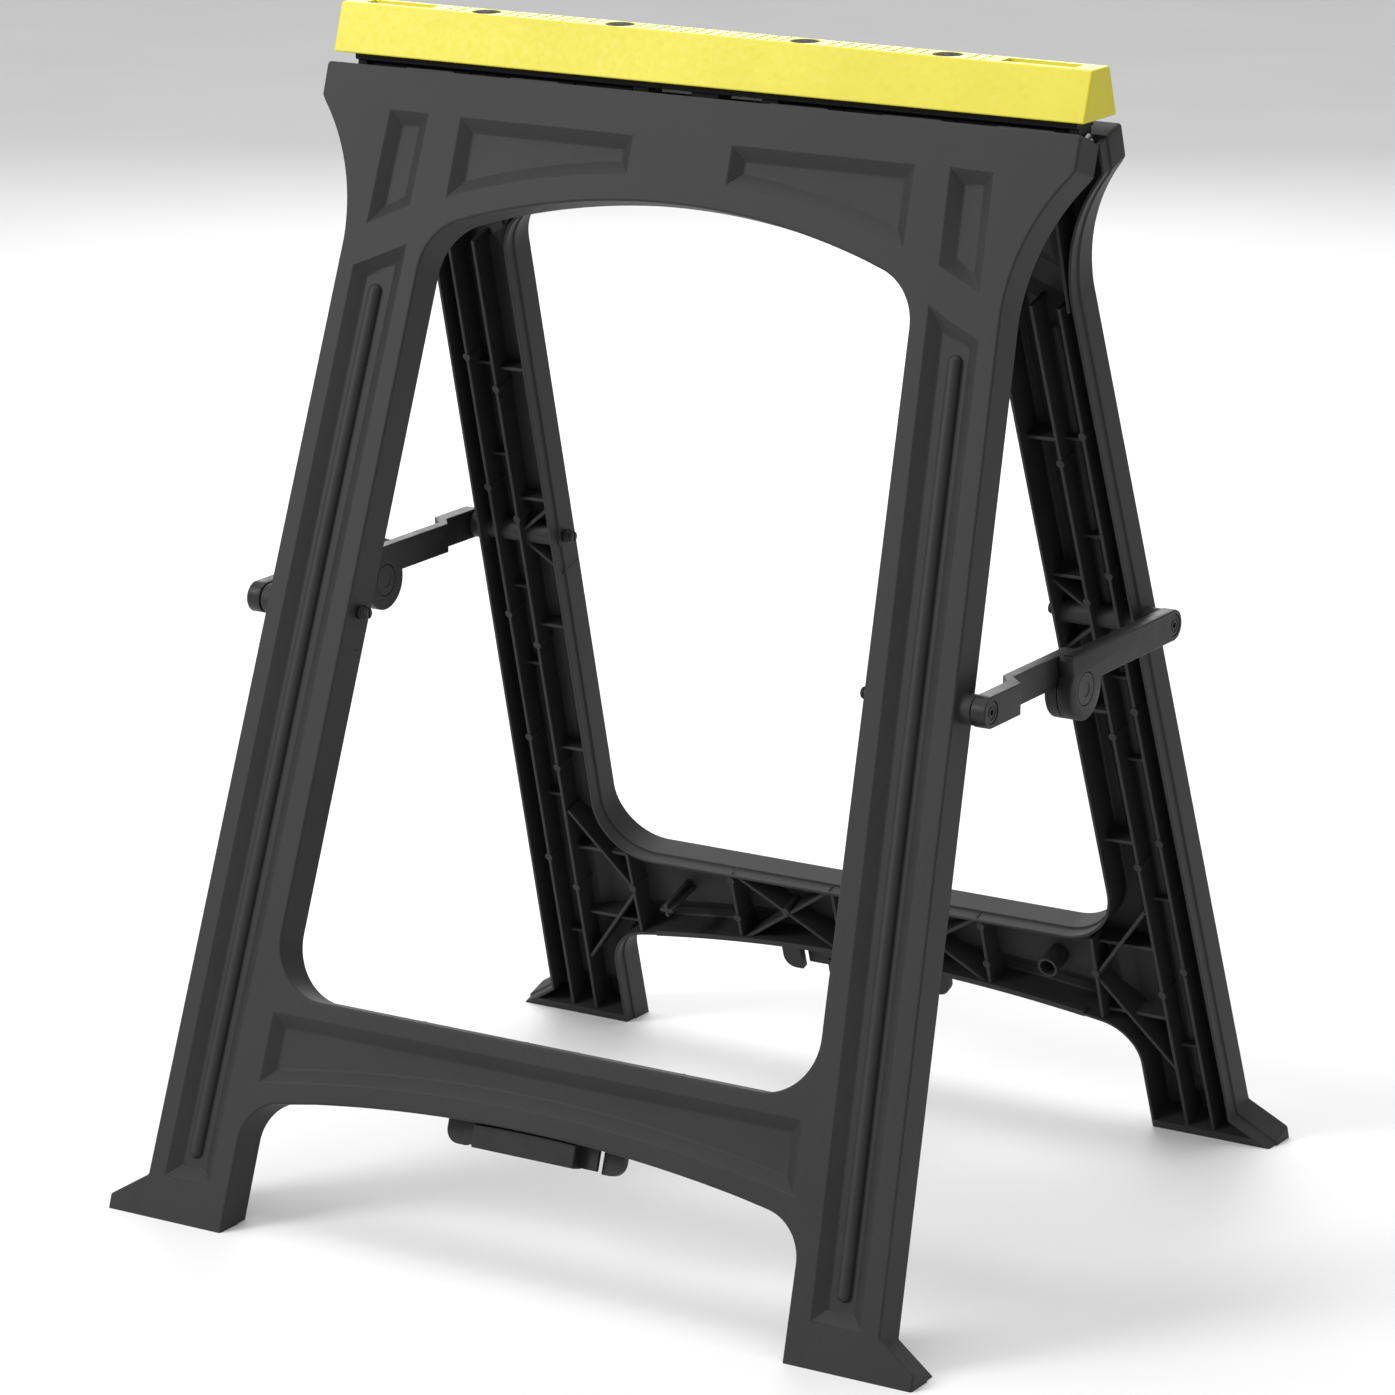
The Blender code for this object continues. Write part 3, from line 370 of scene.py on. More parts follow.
def cut_level(outline, lowest):
    """The part of an outline above a drop."""
    kept = []
    for index, (across, drop) in enumerate(outline):
        before = outline[index - 1]
        if (before[1] > lowest) != (drop > lowest):
            share = (lowest - before[1]) / (drop - before[1])
            kept.append((before[0] + (across - before[0]) * share, lowest))
        if drop <= lowest:
            kept.append((across, drop))
    return kept


def arch_drop(across, radius=ARCH_RADIUS):
    return ARCH_TOP + ARCH_RADIUS - math.sqrt(radius ** 2 - across ** 2)


def bar_drop(across, inset=0.0):
    return BAR_BOTTOM + BAR_RADIUS - math.sqrt((BAR_RADIUS + inset) ** 2 - across ** 2)


def outer_outline():
    """Outer edge of the leg frame with the radii of its sharp corners."""
    centre = (WAIST_HALF + SHOULDER_RADIUS, WAIST_DROP)
    rise = math.degrees(math.asin((WAIST_DROP - SHOULDER_DROP) / SHOULDER_RADIUS))
    corner = (BAR_END_HALF, bar_drop(BAR_END_HALF))
    step = 50 * MM
    right = [(0, FRAME_TOP), (TOP_HALF, FRAME_TOP), (TOP_HALF, SHOULDER_DROP)]
    right += arc(centre, SHOULDER_RADIUS, 180 + rise, 180, 18)[1:]
    ankle = len(right)
    right += [(ANKLE_HALF, ANKLE_DROP), (TOE_HALF, TOE_DROP), (TOE_HALF, BELOW_FLOOR)]
    right += [(FOOT_INNER_HALF, BELOW_FLOOR)]
    right += fillet((BAR_END_HALF, corner[1] + step), corner,
                    (BAR_END_HALF - step, bar_drop(BAR_END_HALF - step)), BAR_CORNER, 14)
    right += [(across, bar_drop(across)) for across in spread(162 * MM, 0, 18)]
    return mirrored(right, {1: 2.4 * MM, 2: 3 * MM, ankle: 2.5 * MM, ankle + 1: 2.5 * MM})


def window_outline():
    top = (WINDOW_HALF_TOP, arch_drop(WINDOW_HALF_TOP))
    low = (WINDOW_HALF_BOTTOM, WINDOW_BOTTOM)
    step = 30 * MM
    right = [(across, arch_drop(across)) for across in spread(0, 140 * MM, 16)]
    right += fillet((WINDOW_HALF_TOP - step, arch_drop(WINDOW_HALF_TOP - step)), top, low,
                    CORNER_RADIUS, 16)
    right += fillet(top, low, (0, WINDOW_BOTTOM), CORNER_RADIUS, 16)
    right += [(0, WINDOW_BOTTOM)]
    return mirrored(right)[0]


def scaled(*points):
    return [(across * MM, drop * MM) for across, drop in points]


def leg_groove():
    return scaled((189.5, 110.3), (226.8, 127.6), (256.2, 720.8), (222, 720.8))


def shoulder_pocket():
    return scaled((188.9, 26.4), (218.2, 26.4), (222.2, 99.9), (192, 85.2))


def arch_pocket():
    lower = [(across, arch_drop(across, ARCH_RADIUS + 17 * MM))
             for across in spread(165.4 * MM, 36 * MM, 10)]
    return scaled((36, 26.8), (164.4, 26.8)) + lower


def bar_pocket():
    lower = [(across, bar_drop(across, 13.5 * MM)) for across in spread(196.4 * MM, -196.4 * MM, 28)]
    return scaled((-194.1, 604.9), (194.1, 604.9)) + lower


def all_pockets():
    pockets = [bar_pocket()]
    for outline in (leg_groove(), shoulder_pocket(), arch_pocket()):
        pockets += [outline, [(-across, drop) for across, drop in reversed(outline)]]
    return pockets


def window_side(drop):
    """Half width of the window at a drop, on the line of its side."""
    top = arch_drop(WINDOW_HALF_TOP)
    share = (drop - top) / (WINDOW_BOTTOM - top)
    return WINDOW_HALF_TOP + (WINDOW_HALF_BOTTOM - WINDOW_HALF_TOP) * share


# ---------------------------------------------------------------- leg frame shell

class Loft:
    """A mesh made of rings of points that are joined ring to ring and capped by flat faces."""

    def __init__(self):
        self.bm = bmesh.new()

    def ring(self, outline, depth):
        return [self.bm.verts.new(in_panel(across, drop, depth)) for across, drop in outline]

    def join(self, rings):
        for first, second in zip(rings, rings[1:]):
            for index in range(len(first)):
                self.bm.faces.new((first[index - 1], first[index], second[index], second[index - 1]))

    def fill(self, rings):
        """A flat face inside the first ring, with the other rings as its holes."""
        edges = []
        for ring in rings:
            for index in range(len(ring)):
                edge = self.bm.edges.get((ring[index - 1], ring[index]))
                edges.append(edge or self.bm.edges.new((ring[index - 1], ring[index])))
        bmesh.ops.triangle_fill(self.bm, use_beauty=True, use_dissolve=False, edges=edges)


def rounding(radius, steps):
    """(inset, rise) pairs of a quarter round, from its foot to its crown."""
    return [(radius * (1 - math.cos(angle)), radius * math.sin(angle))
            for angle in spread(0, math.pi / 2, steps)]


def wall_profile():
    """(inset, depth) points of the walls' outer side, from the back edge to the face."""
    profile = [(BAND_INSET + 0.4 * MM, RIM_DEPTH), (BAND_INSET, RIM_DEPTH + 0.4 * MM),
               (BAND_INSET, BAND_DEPTH - 0.3 * MM), (0.3 * MM, BAND_DEPTH), (0, BAND_DEPTH + 0.4 * MM)]
    for inset, rise in rounding(FACE_ROUND, 4):
        profile.append((inset, DEPTH - FACE_ROUND + rise))
    return profile


def inside_profile():
    """(inset, depth) points of the walls' inner side, from the back edge to the web."""
    web = DEPTH - WEB
    return [(WALL - 0.3 * MM, RIM_DEPTH), (WALL, RIM_DEPTH + 0.3 * MM), (WALL + 0.2 * MM, web - 1.5 * MM),
            (WALL + 0.7 * MM, web - 0.5 * MM), (WALL + 1.6 * MM, web)]


def pocket_profile():
    """(inset, depth) points from a pocket's mouth down its slope to its floor."""
    floor = DEPTH - POCKET_DEPTH
    return [(-0.7 * MM, DEPTH), (-0.2 * MM, DEPTH - 0.1 * MM), (0.3 * MM, DEPTH - 0.45 * MM),
            (POCKET_SLOPE - 1.2 * MM, floor + 0.75 * MM), (POCKET_SLOPE - 0.3 * MM, floor + 0.2 * MM),
            (POCKET_SLOPE + 0.6 * MM, floor)]


def backing_profile():
    """The same on the inner side of the web, where the pocket's floor stands out."""
    web = DEPTH - WEB
    floor = DEPTH - POCKET_DEPTH - BACKING
    return [(-3.6 * MM, web), (-3.1 * MM, web - 0.3 * MM), (POCKET_SLOPE - 4.2 * MM, floor + 0.5 * MM),
            (POCKET_SLOPE - 3.2 * MM, floor)]


def shell():
    """Walls and web of a leg frame as one closed skin, cut level at the floor."""
    loft = Loft()
    outer, corners = outer_outline()
    window = window_outline()

    def outer_ring(inset, depth):
        radii = {place: max(0.3 * MM, radius - inset) for place, radius in corners.items()}
        return loft.ring(softened(offset(outer, inset), radii), depth)

    outside = [outer_ring(inset, depth) for inset, depth in wall_profile()]
    inside = [loft.ring(cut_level(offset(outer, inset), SOLE_DROP), depth)
              for inset, depth in inside_profile()]
    window_out = [loft.ring(offset(window, -inset), depth) for inset, depth in wall_profile()]
    window_in = [loft.ring(offset(window, -inset), depth) for inset, depth in inside_profile()]
    pockets, backs = [], []
    for outline in all_pockets():
        pockets.append([loft.ring(offset(outline, inset), depth) for inset, depth in pocket_profile()])
        backs.append([loft.ring(offset(outline, inset), depth) for inset, depth in backing_profile()])
    for rings in [outside, inside, window_out, window_in] + pockets + backs:
        loft.join(rings)
    loft.fill([inside[0], outside[0]])
    loft.join([window_in[0], window_out[0]])
    loft.fill([outside[-1], window_out[-1]] + [rings[0] for rings in pockets])
    loft.fill([inside[-1], window_in[-1]] + [rings[0] for rings in backs])
    for rings in pockets + backs:
        loft.fill([rings[-1]])
    bm = loft.bm
    bmesh.ops.remove_doubles(bm, verts=bm.verts, dist=0.01 * MM)
    bmesh.ops.dissolve_degenerate(bm, edges=bm.edges, dist=0.01 * MM)
    bmesh.ops.recalc_face_normals(bm, faces=bm.faces)
    drop = HINGE.z / math.cos(LEAN)
    cut = bmesh.ops.bisect_plane(
        bm, geom=bm.verts[:] + bm.edges[:] + bm.faces[:], clear_inner=True,
        plane_co=(0, 0, -drop), plane_no=(0, -math.sin(LEAN), math.cos(LEAN)))
    rims = [item for item in cut["geom_cut"] if isinstance(item, bmesh.types.BMEdge)]
    bmesh.ops.edgeloop_fill(bm, edges=rims)
    bmesh.ops.recalc_face_normals(bm, faces=bm.faces)
    return object_from(bm, "shell")


# ---------------------------------------------------------------- leg frame ribs and fittings

def rib(start, end, depth_low=2 * MM, thick=RIB):
    """An upright rib in the hollow back, with its back edge slightly rounded."""
    start, end = Vector(start), Vector(end)
    run = (end - start).normalized()
    side = Vector((-run.y, run.x)) * thick / 2
    bm = bmesh.new()
    rings = []
    for depth, share in ((DEPTH - WEB + 0.6 * MM, 1.25), (depth_low + 0.5 * MM, 1.0), (depth_low, 0.6)):
        corners = (start - side * share, end - side * share, end + side * share, start + side * share)
        rings.append([bm.verts.new(in_panel(corner.x, corner.y, depth)) for corner in corners])
    for first, second in zip(rings, rings[1:]):
        for index in range(4):
            bm.faces.new((first[index - 1], first[index], second[index], second[index - 1]))
    bm.faces.new(rings[0])
    bm.faces.new(rings[-1])
    bmesh.ops.recalc_face_normals(bm, faces=bm.faces)
    return object_from(bm)


def dot(across, drop, depth_low):
    """Round boss on a rib's back edge, where the mould's ejector pin pushes."""
    return round_bar(in_panel(across, drop, depth_low), in_panel(across, drop, DEPTH - WEB + 0.4 * MM),
                     DOT_RADIUS, 18, soft=0.3 * MM)


def leg_ribs(side):
    """Two long ribs down one leg with their ejector bosses, and the short ribs that tie them."""
    solids = []
    for number, inset in enumerate(LEG_RIB_INSETS):
        start = (side * (window_side(LEG_RIB_TOP) + inset), LEG_RIB_TOP)
        end = (side * (window_side(SOLE_DROP) + inset), SOLE_DROP + 1 * MM)
        solids.append(rib(start, end, (2.0 + 0.1 * number) * MM))
        for drop in spread(229 * MM, 630 * MM, 4):
            shifted = drop - 22 * MM * number
            solids.append(dot(side * (window_side(shifted) + inset), shifted, (1.5 + 0.1 * number) * MM))
    for drop in LOW_TIE_DROPS:
        edge = window_side(drop)
        solids.append(rib((side * (edge + 1 * MM), drop), (side * (edge + 28.5 * MM), drop), 8 * MM))
    for drop in HIGH_TIE_DROPS:
        edge = window_side(drop)
        solids.append(rib((side * (edge + 27 * MM), drop), (side * (edge + 48 * MM), drop), 12 * MM))
    pivot_edge = window_side(PIN_DROP)
    for step in (-1, 1):
        start = (side * (pivot_edge + 1.5 * MM), PIN_DROP + step * 26 * MM)
        end = (side * (pivot_edge + 27.5 * MM), PIN_DROP + step * 5 * MM)
        solids.append(rib(start, end, (7 + step * 0.2) * MM))
    return solids


def bar_ribs():
    """Upright and crossed ribs in the crossbar and at its junctions with the legs."""
    top = WINDOW_BOTTOM + 1.2 * MM
    solids = []
    for side in (-1, 1):
        for across in BAR_RIB_PLACES:
            solids.append(rib((side * across, top), (side * across, bar_drop(across) - 1.2 * MM)))
        end = side * BAR_END_RIB
        solids.append(rib((end, top), (end, bar_drop(end) - 1.2 * MM)))
        outer, inner = side * 96 * MM, side * 18 * MM
        low_outer, low_inner = bar_drop(outer) - 1.6 * MM, bar_drop(inner) - 1.6 * MM
        solids.append(rib((outer, top), (inner, low_inner), 2.5 * MM))
        solids.append(rib((outer, low_outer), (inner, top), 3 * MM))
        solids.append(rib((end, 624 * MM), (side * 224 * MM, 566 * MM), 3 * MM))
        solids.append(rib((end, 627 * MM), (side * 230 * MM, 690 * MM), 3.5 * MM))
        for across, drop in ((97.5, 600), (97.5, 631), (181, 622), (57, 618)):
            solids.append(dot(side * across * MM, drop * MM, 1.4 * MM))
        for drop in (600 * MM, 655 * MM):
            solids.append(rib((side * 183 * MM, drop), (side * 226 * MM, drop), 9 * MM))
    return solids


def top_ribs():
    """Upright ribs behind the shoulders and over the arch."""
    solids = []
    for across, low in ((232 * MM, 120 * MM), (180 * MM, 104 * MM),
                        (100 * MM, arch_drop(100 * MM) - 1.2 * MM)):
        for side in (-1, 1):
            solids.append(rib((side * across, FRAME_TOP + 1.2 * MM), (side * across, low)))
    for side in (-1, 1):
        solids.append(rib((side * 179 * MM, 104 * MM), (side * 101 * MM, 12 * MM), 4 * MM))
    return solids


def knuckles():
    """Hinge knuckles along the frame's top edge."""
    solids = []
    for low, high in KNUCKLES:
        solids.append(round_bar((low * MM, 0, 0), (high * MM, 0, 0), KNUCKLE_RADIUS, 40, soft=0.5 * MM))
        solids.append(block((low * MM + 0.2 * MM, -DEPTH + WEB - 0.4 * MM, -KNUCKLE_RADIUS),
                            (high * MM - 0.2 * MM, -1 * MM, 2 * MM)))
    return solids


def pivot_bosses(side):
    """Boss through the leg for the brace pin, and the round spacer outside it."""
    y, z = -PIN_DEPTH, -PIN_DROP
    inner, middle = side * (FLANGE_AT_PIVOT + 1 * MM), side * 247 * MM
    outer = side * (LINK_OUTER - LINK_THICK - LAP_GAP)
    return [round_bar((inner, y, z), (middle, y, z), 8 * MM, 36),
            round_bar((side * 246.5 * MM, y, z), (outer, y, z), 9.5 * MM, 48, soft=1.0 * MM)]


def catch_post():
    """Cross-shaped post that enters the other frame's tube when the sawhorse is folded."""
    arm, half = 5 * MM, 1.3 * MM
    solids = []
    for wide, tall in ((arm, half), (half, arm)):
        solids.append(block((POST_X - wide, -DEPTH + WEB - 0.6 * MM, -POST_DROP - tall),
                            (POST_X + wide, 13.4 * MM, -POST_DROP + tall), soft=0.35 * MM))
    return solids


def ears():
    """Two rounded guards that hang beside the latch tab."""
    solids = []
    for side in (-1, 1):
        low, high, drop = 50.5 * MM, 65 * MM, 663 * MM
        outline = [(low, BAR_BOTTOM - 1.5 * MM), (high, BAR_BOTTOM - 1.5 * MM)]
        outline += arc((high - 9 * MM, drop - 8 * MM), 9 * MM, 0, 90, 12)
        outline += [(low, drop + 1 * MM)]
        outline = [(side * across, down) for across, down in outline]
        solids.append(prism(outline, 1.2 * MM, 7.5 * MM, in_panel, soft=0.5 * MM))
    return solids


def catch_tube():
    return [round_bar((-POST_X, -DEPTH + WEB - 0.7 * MM, -POST_DROP), (-POST_X, -1 * MM, -POST_DROP),
                      7.3 * MM, 40, soft=0.4 * MM)]


def lip():
    """Rounded lip along the inner rim of the crossbar's lower edge."""
    outer = [(across, bar_drop(across) - 0.4 * MM) for across in spread(-168 * MM, 168 * MM, 40)]
    inner = [(across, bar_drop(across) - 4.6 * MM) for across in spread(168 * MM, -168 * MM, 40)]
    return [prism(outer + inner, RIM_DEPTH + 0.15 * MM, BAND_DEPTH - 2.4 * MM, in_panel, soft=0.4 * MM)]


def hinge_reliefs():
    """Stretches along the hinge, in mm, that the other frame and the rail's lugs need free."""
    end = (TOP_HALF - WALL) / MM - 0.8
    needed = [(-high - 1, -low + 1) for low, high in KNUCKLES]
    needed += [(low - 1, high + 1) for low, high in LUGS]
    needed += [(LUGS[-1][0] - 1, end), (-end, LUGS[0][1] + 1)]
    merged = []
    for low, high in sorted(needed):
        if merged and low < merged[-1][1] + 0.2:
            merged[-1] = (merged[-1][0], max(high, merged[-1][1]))
        else:
            merged.append((low, high))
    return merged


def pocket_plugs():
    """What is trimmed from the ribs so that none comes through a pocket."""
    plugs = []
    for outline in all_pockets():
        loft = Loft()
        rings = [loft.ring(offset(outline, inset), depth) for inset, depth in
                 ((-1.4 * MM, DEPTH + 1 * MM), (POCKET_SLOPE - 0.8 * MM, DEPTH - POCKET_DEPTH - 0.8 * MM))]
        loft.join(rings)
        loft.fill([rings[0]])
        loft.fill([rings[1]])
        bmesh.ops.recalc_face_normals(loft.bm, faces=loft.bm.faces)
        plugs.append(object_from(loft.bm))
    return plugs


def frame_cuts():
    end = TOP_HALF - WALL - 0.5 * MM
    cuts = [round_bar((-end, 0, 0), (end, 0, 0), ROD_RADIUS + 0.4 * MM, 32)]
    for low, high in hinge_reliefs():
        cuts.append(round_bar((low * MM, 0, 0), (high * MM, 0, 0), KNUCKLE_RELIEF, 32))
    cuts.append(round_bar((-POST_X, -DEPTH + POCKET_DEPTH + BACKING, -POST_DROP),
                          (-POST_X, 1 * MM, -POST_DROP), 5.6 * MM, 36))
    cuts.append(round_bar((0, -12 * MM, -BAR_BOTTOM + 8 * MM), (0, -12 * MM, -BAR_BOTTOM - 3 * MM),
                          3.5 * MM, 24))
    cuts.append(block((-27 * MM, -9.5 * MM, -BAR_BOTTOM - 3 * MM), (-9 * MM, 1 * MM, -BAR_BOTTOM + 5 * MM)))
    return cuts


def pin_holes():
    y, z = -PIN_DEPTH, -PIN_DROP
    return [round_bar((side * 180 * MM, y, z), (side * 262 * MM, y, z), PIN_RADIUS + 0.4 * MM, 32)
            for side in (-1, 1)]


def beads():
    """Half-round bead down the middle of each leg groove."""
    sunk = DEPTH - POCKET_DEPTH - 0.6 * MM
    return [capsule(in_panel(side * 210.7 * MM, 142 * MM, sunk), in_panel(side * 238.9 * MM, 702 * MM, sunk),
                    BEAD_RADIUS) for side in (-1, 1)]


def leg_frame_mesh():
    body = shell()
    additions = bar_ribs() + top_ribs() + knuckles() + catch_post() + catch_tube()
    for side in (-1, 1):
        additions += leg_ribs(side) + pivot_bosses(side)
    inside = combine(additions[0], "UNION", additions[1:])
    inside = combine(inside, "DIFFERENCE", pocket_plugs())
    body = combine(body, "UNION", [inside] + ears() + lip())
    body = combine(body, "DIFFERENCE", frame_cuts())
    body = combine(body, "UNION", beads())
    body = combine(body, "DIFFERENCE", pin_holes())
    return finished(body, "leg_frame")


# ---------------------------------------------------------------- top rail

def rail_profile(inset, bottom, top):
    slope = (RAIL_HALF_WIDTH - RAIL_TOP_HALF_WIDTH) / (HEIGHT - RAIL_BOTTOM)
    low = RAIL_HALF_WIDTH - (bottom - RAIL_BOTTOM) * slope - inset
    high = RAIL_HALF_WIDTH - (top - RAIL_BOTTOM) * slope - inset
    return [(-low, bottom), (low, bottom), (high, top), (-high, top)]


def rail_body():
    bm = bmesh.new()
    rings = [[bm.verts.new((x, y, z)) for y, z in rail_profile(0, RAIL_BOTTOM, HEIGHT)]
             for x in (-RAIL_HALF, RAIL_HALF)]
    for index in range(4):
        bm.faces.new((rings[0][index - 1], rings[0][index], rings[1][index], rings[1][index - 1]))
    for ring in rings:
        bm.faces.new(ring)
    bmesh.ops.recalc_face_normals(bm, faces=bm.faces)
    bmesh.ops.bevel(bm, geom=bm.edges[:], offset=1.3 * MM, segments=4, profile=0.5, affect="EDGES")
    return object_from(bm)


def rail_top_cuts():
    """Seats for the pads, the end recesses, and the fine grip grooves between them."""
    cuts = []
    pads = [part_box(f"grip_pad_{number}") for number in range(1, 5)]
    centres = [(low.x + high.x) / 2 for low, high in pads]
    for centre in centres:
        cuts.append(turned([(0, 0), (0, 9.4 * MM), (2.9 * MM, 9.4 * MM), (3.3 * MM, 9.7 * MM),
                            (3.8 * MM, 10.3 * MM), (3.8 * MM, 0)], 56))
        cuts[-1].data.transform(Matrix.Translation((centre, 0, HEIGHT - 3.4 * MM))
                                @ Matrix.Rotation(-math.pi / 2, 4, "Y"))
    for side in (-1, 1):
        low, high = sorted((side * 206 * MM, side * 257 * MM))
        cuts.append(block((low, -6.5 * MM, HEIGHT - 2.5 * MM), (high, 6.5 * MM, HEIGHT + 2 * MM),
                          soft=0.8 * MM))
    pitch = 8.8 * MM
    for number in range(-29, 30):
        across = number * pitch
        near_pad = any(abs(across - centre) < 14 * MM for centre in centres)
        if near_pad or 200 * MM < abs(across):
            continue
        cuts.append(block((across - 0.9 * MM, -9.2 * MM, HEIGHT - 0.6 * MM),
                          (across + 0.9 * MM, 9.2 * MM, HEIGHT + 1 * MM)))
    return cuts


def rail_mesh():
    body = rail_body()
    hollow = prism(rail_profile(3 * MM, RAIL_BOTTOM - 1 * MM, HEIGHT - 5.5 * MM), -RAIL_HALF + 3 * MM,
                   RAIL_HALF - 3 * MM, along_x)
    body = combine(body, "DIFFERENCE", [hollow])
    body = combine(body, "DIFFERENCE", rail_top_cuts())
    return finished(body, "top_rail")


def carrier_mesh():
    """Beam inside the rail, hollow from above, with the plates that hang from it and hold the rod."""
    end, wide, wall = LUGS[-1][1] * MM, 11 * MM, 2.5 * MM
    body = block((-end, -wide, CARRIER_BOTTOM), (end, wide, CARRIER_TOP), soft=0.7 * MM)
    stops = [(low + high) / 2 * MM for low, high in LUGS]
    hollows = [block((start + wall, wall - wide, CARRIER_BOTTOM + wall), (stop - wall, wide - wall, HEIGHT))
               for start, stop in zip(stops, stops[1:])]
    half = 8 * MM
    outline = arc((0, HINGE.z), half, 180, 360, 24)
    outline += [(half, CARRIER_BOTTOM + 1 * MM), (-half, CARRIER_BOTTOM + 1 * MM)]
    lugs = [prism(outline, low * MM, high * MM, along_x, soft=0.6 * MM) for low, high in LUGS]
    way = round_bar((-265 * MM, 0, HINGE.z), (265 * MM, 0, HINGE.z), ROD_RADIUS + 0.3 * MM, 32)
    body = combine(body, "DIFFERENCE", hollows)
    body = combine(body, "UNION", lugs)
    body = combine(body, "DIFFERENCE", [way])
    return finished(body, "hinge_carrier")


def pad_mesh():
    """Rubber pad with a soft edge, a raised middle and two shallow rings."""
    top = -0.1 * MM
    profile = [(-3.2 * MM, 0), (-3.2 * MM, 9 * MM), (top - 0.9 * MM, 9 * MM), (top - 0.4 * MM, 8.85 * MM),
               (top - 0.1 * MM, 8.5 * MM), (top, 8 * MM), (top, 6.7 * MM), (top - 0.35 * MM, 6.4 * MM),
               (top - 0.35 * MM, 5.8 * MM), (top, 5.5 * MM), (top, 4.1 * MM), (top - 0.35 * MM, 3.8 * MM),
               (top - 0.35 * MM, 3.2 * MM), (top, 2.9 * MM), (top, 0)]
    obj = turned(profile, 64)
    obj.data.transform(Matrix.Rotation(-math.pi / 2, 4, "Y"))
    return finished(obj, "grip_pad", 50)


def rod_mesh():
    """Steel rod with chamfered ends."""
    half, soft = 266.3 * MM, 0.6 * MM
    return finished(turned([(-half, 0), (-half, ROD_RADIUS - soft), (-half + soft, ROD_RADIUS),
                            (half - soft, ROD_RADIUS), (half, ROD_RADIUS - soft), (half, 0)]), "rod")


def ring_mesh(section, axis, name):
    """A ring of revolution about an axis, from the closed outline of its section in mm."""
    bm = bmesh.new()
    verts = [bm.verts.new([value * MM for value in point]) for point in section]
    edges = [bm.edges.new((verts[index - 1], verts[index])) for index in range(len(verts))]
    bmesh.ops.spin(bm, geom=verts + edges, cent=(0, 0, 0), axis=axis, angle=2 * math.pi,
                   steps=40, use_merge=True)
    bmesh.ops.recalc_face_normals(bm, faces=bm.faces)
    return finished(object_from(bm), name, 50)


def push_nut_mesh():
    """Domed push-on nut on the rod's end."""
    profile = [(-0.75, 3.3), (-0.75, 5.4), (-0.5, 5.9), (0.1, 6.0), (0.3, 5.7), (0.75, 4.6), (0.75, 3.3)]
    return ring_mesh([(x, 0, radius) for x, radius in profile], (1, 0, 0), "push_nut")


# ---------------------------------------------------------------- braces

def link_outline(tail=0.0):
    """Side view of a link: end eye, bar, and the joint disc that hangs below the bar."""
    half = LINK_HALF
    notch = math.sqrt(DISC_RADIUS ** 2 - (DISC_DROP - half) ** 2)
    first = math.degrees(math.asin((half - DISC_DROP) / DISC_RADIUS))
    points = [(y, -z) for y, z in arc((0, 0), half, 270, 90, 24)] + [(REACH - notch, -half)]
    lower = [(y, -z) for y, z in arc((REACH, DISC_DROP), DISC_RADIUS, 180 - first, -40, 44)]
    if tail:
        return points + lower[1:-1] + [(REACH + tail, half - 3 * MM), (REACH + tail - 1.5 * MM, half)]
    return points + lower[1:] + [(REACH + 4 * MM, half)]


def link_mesh(cranked):
    """A link along +Y from its end eye at the origin, with its outer face at LINK_OUTER."""
    inner_face = LINK_OUTER - LINK_THICK
    whole = REACH + DISC_RADIUS
    if cranked:
        start, end = CRANK
        face = inner_face - LAP_GAP
        body = prism(link_outline(), LAP_INNER, LINK_OUTER, along_x)
        plan = [(-LINK_THICK - 2 * MM, inner_face), (-LINK_THICK - 2 * MM, LINK_OUTER + 1 * MM),
                (start, LINK_OUTER + 1 * MM), (start, LINK_OUTER), (end, face), (whole + 1 * MM, face),
                (whole + 1 * MM, LAP_INNER - 1 * MM), (end, LAP_INNER - 1 * MM), (end, LAP_INNER),
                (start, inner_face)]
        slab = prism(plan, -DISC_DROP - DISC_RADIUS - 1 * MM, LINK_HALF + 1 * MM, across_plan)
        body = combine(body, "INTERSECT", [slab])
        edges = body.modifiers.new("soft", "BEVEL")
        edges.width, edges.segments, edges.limit_method = 0.8 * MM, 3, "ANGLE"
        edges.angle_limit = math.radians(40)
        body = add_object("link", evaluated_mesh(body))
    else:
        body = prism(link_outline(tail=19 * MM), inner_face, LINK_OUTER, along_x, soft=0.9 * MM, segments=3)
        ridges = []
        for number in range(9):
            y = REACH - 6 * MM + number * 2.6 * MM
            low = (inner_face + 1 * MM, y - 0.65 * MM, LINK_HALF - 1 * MM)
            high = (LINK_OUTER - 0.6 * MM, y + 0.65 * MM, LINK_HALF + 0.7 * MM)
            ridges.append(block(low, high, soft=0.25 * MM))
        body = combine(body, "UNION", ridges)
    low, high = LAP_INNER - 1 * MM, LINK_OUTER + 1 * MM
    centre = (REACH, -DISC_DROP)
    cap = 10.9 * MM
    cuts = [round_bar((low, 0, 0), (high, 0, 0), PIN_RADIUS + 0.3 * MM, 36),
            round_bar((LINK_OUTER - 3.3 * MM, 0, 0), (high, 0, 0), 7.3 * MM, 44),
            round_bar((low, *centre), (high, *centre), JOINT_PIN_RADIUS + 0.3 * MM, 44)]
    if cranked:
        cuts.append(round_bar((low, *centre), (LAP_INNER + 1.6 * MM, *centre), cap, 56))
    else:
        cuts.append(round_bar((LINK_OUTER - 1.6 * MM, *centre), (high, *centre), cap, 56))
    body = combine(body, "DIFFERENCE", cuts)
    return finished(body, "cranked_link" if cranked else "straight_link")


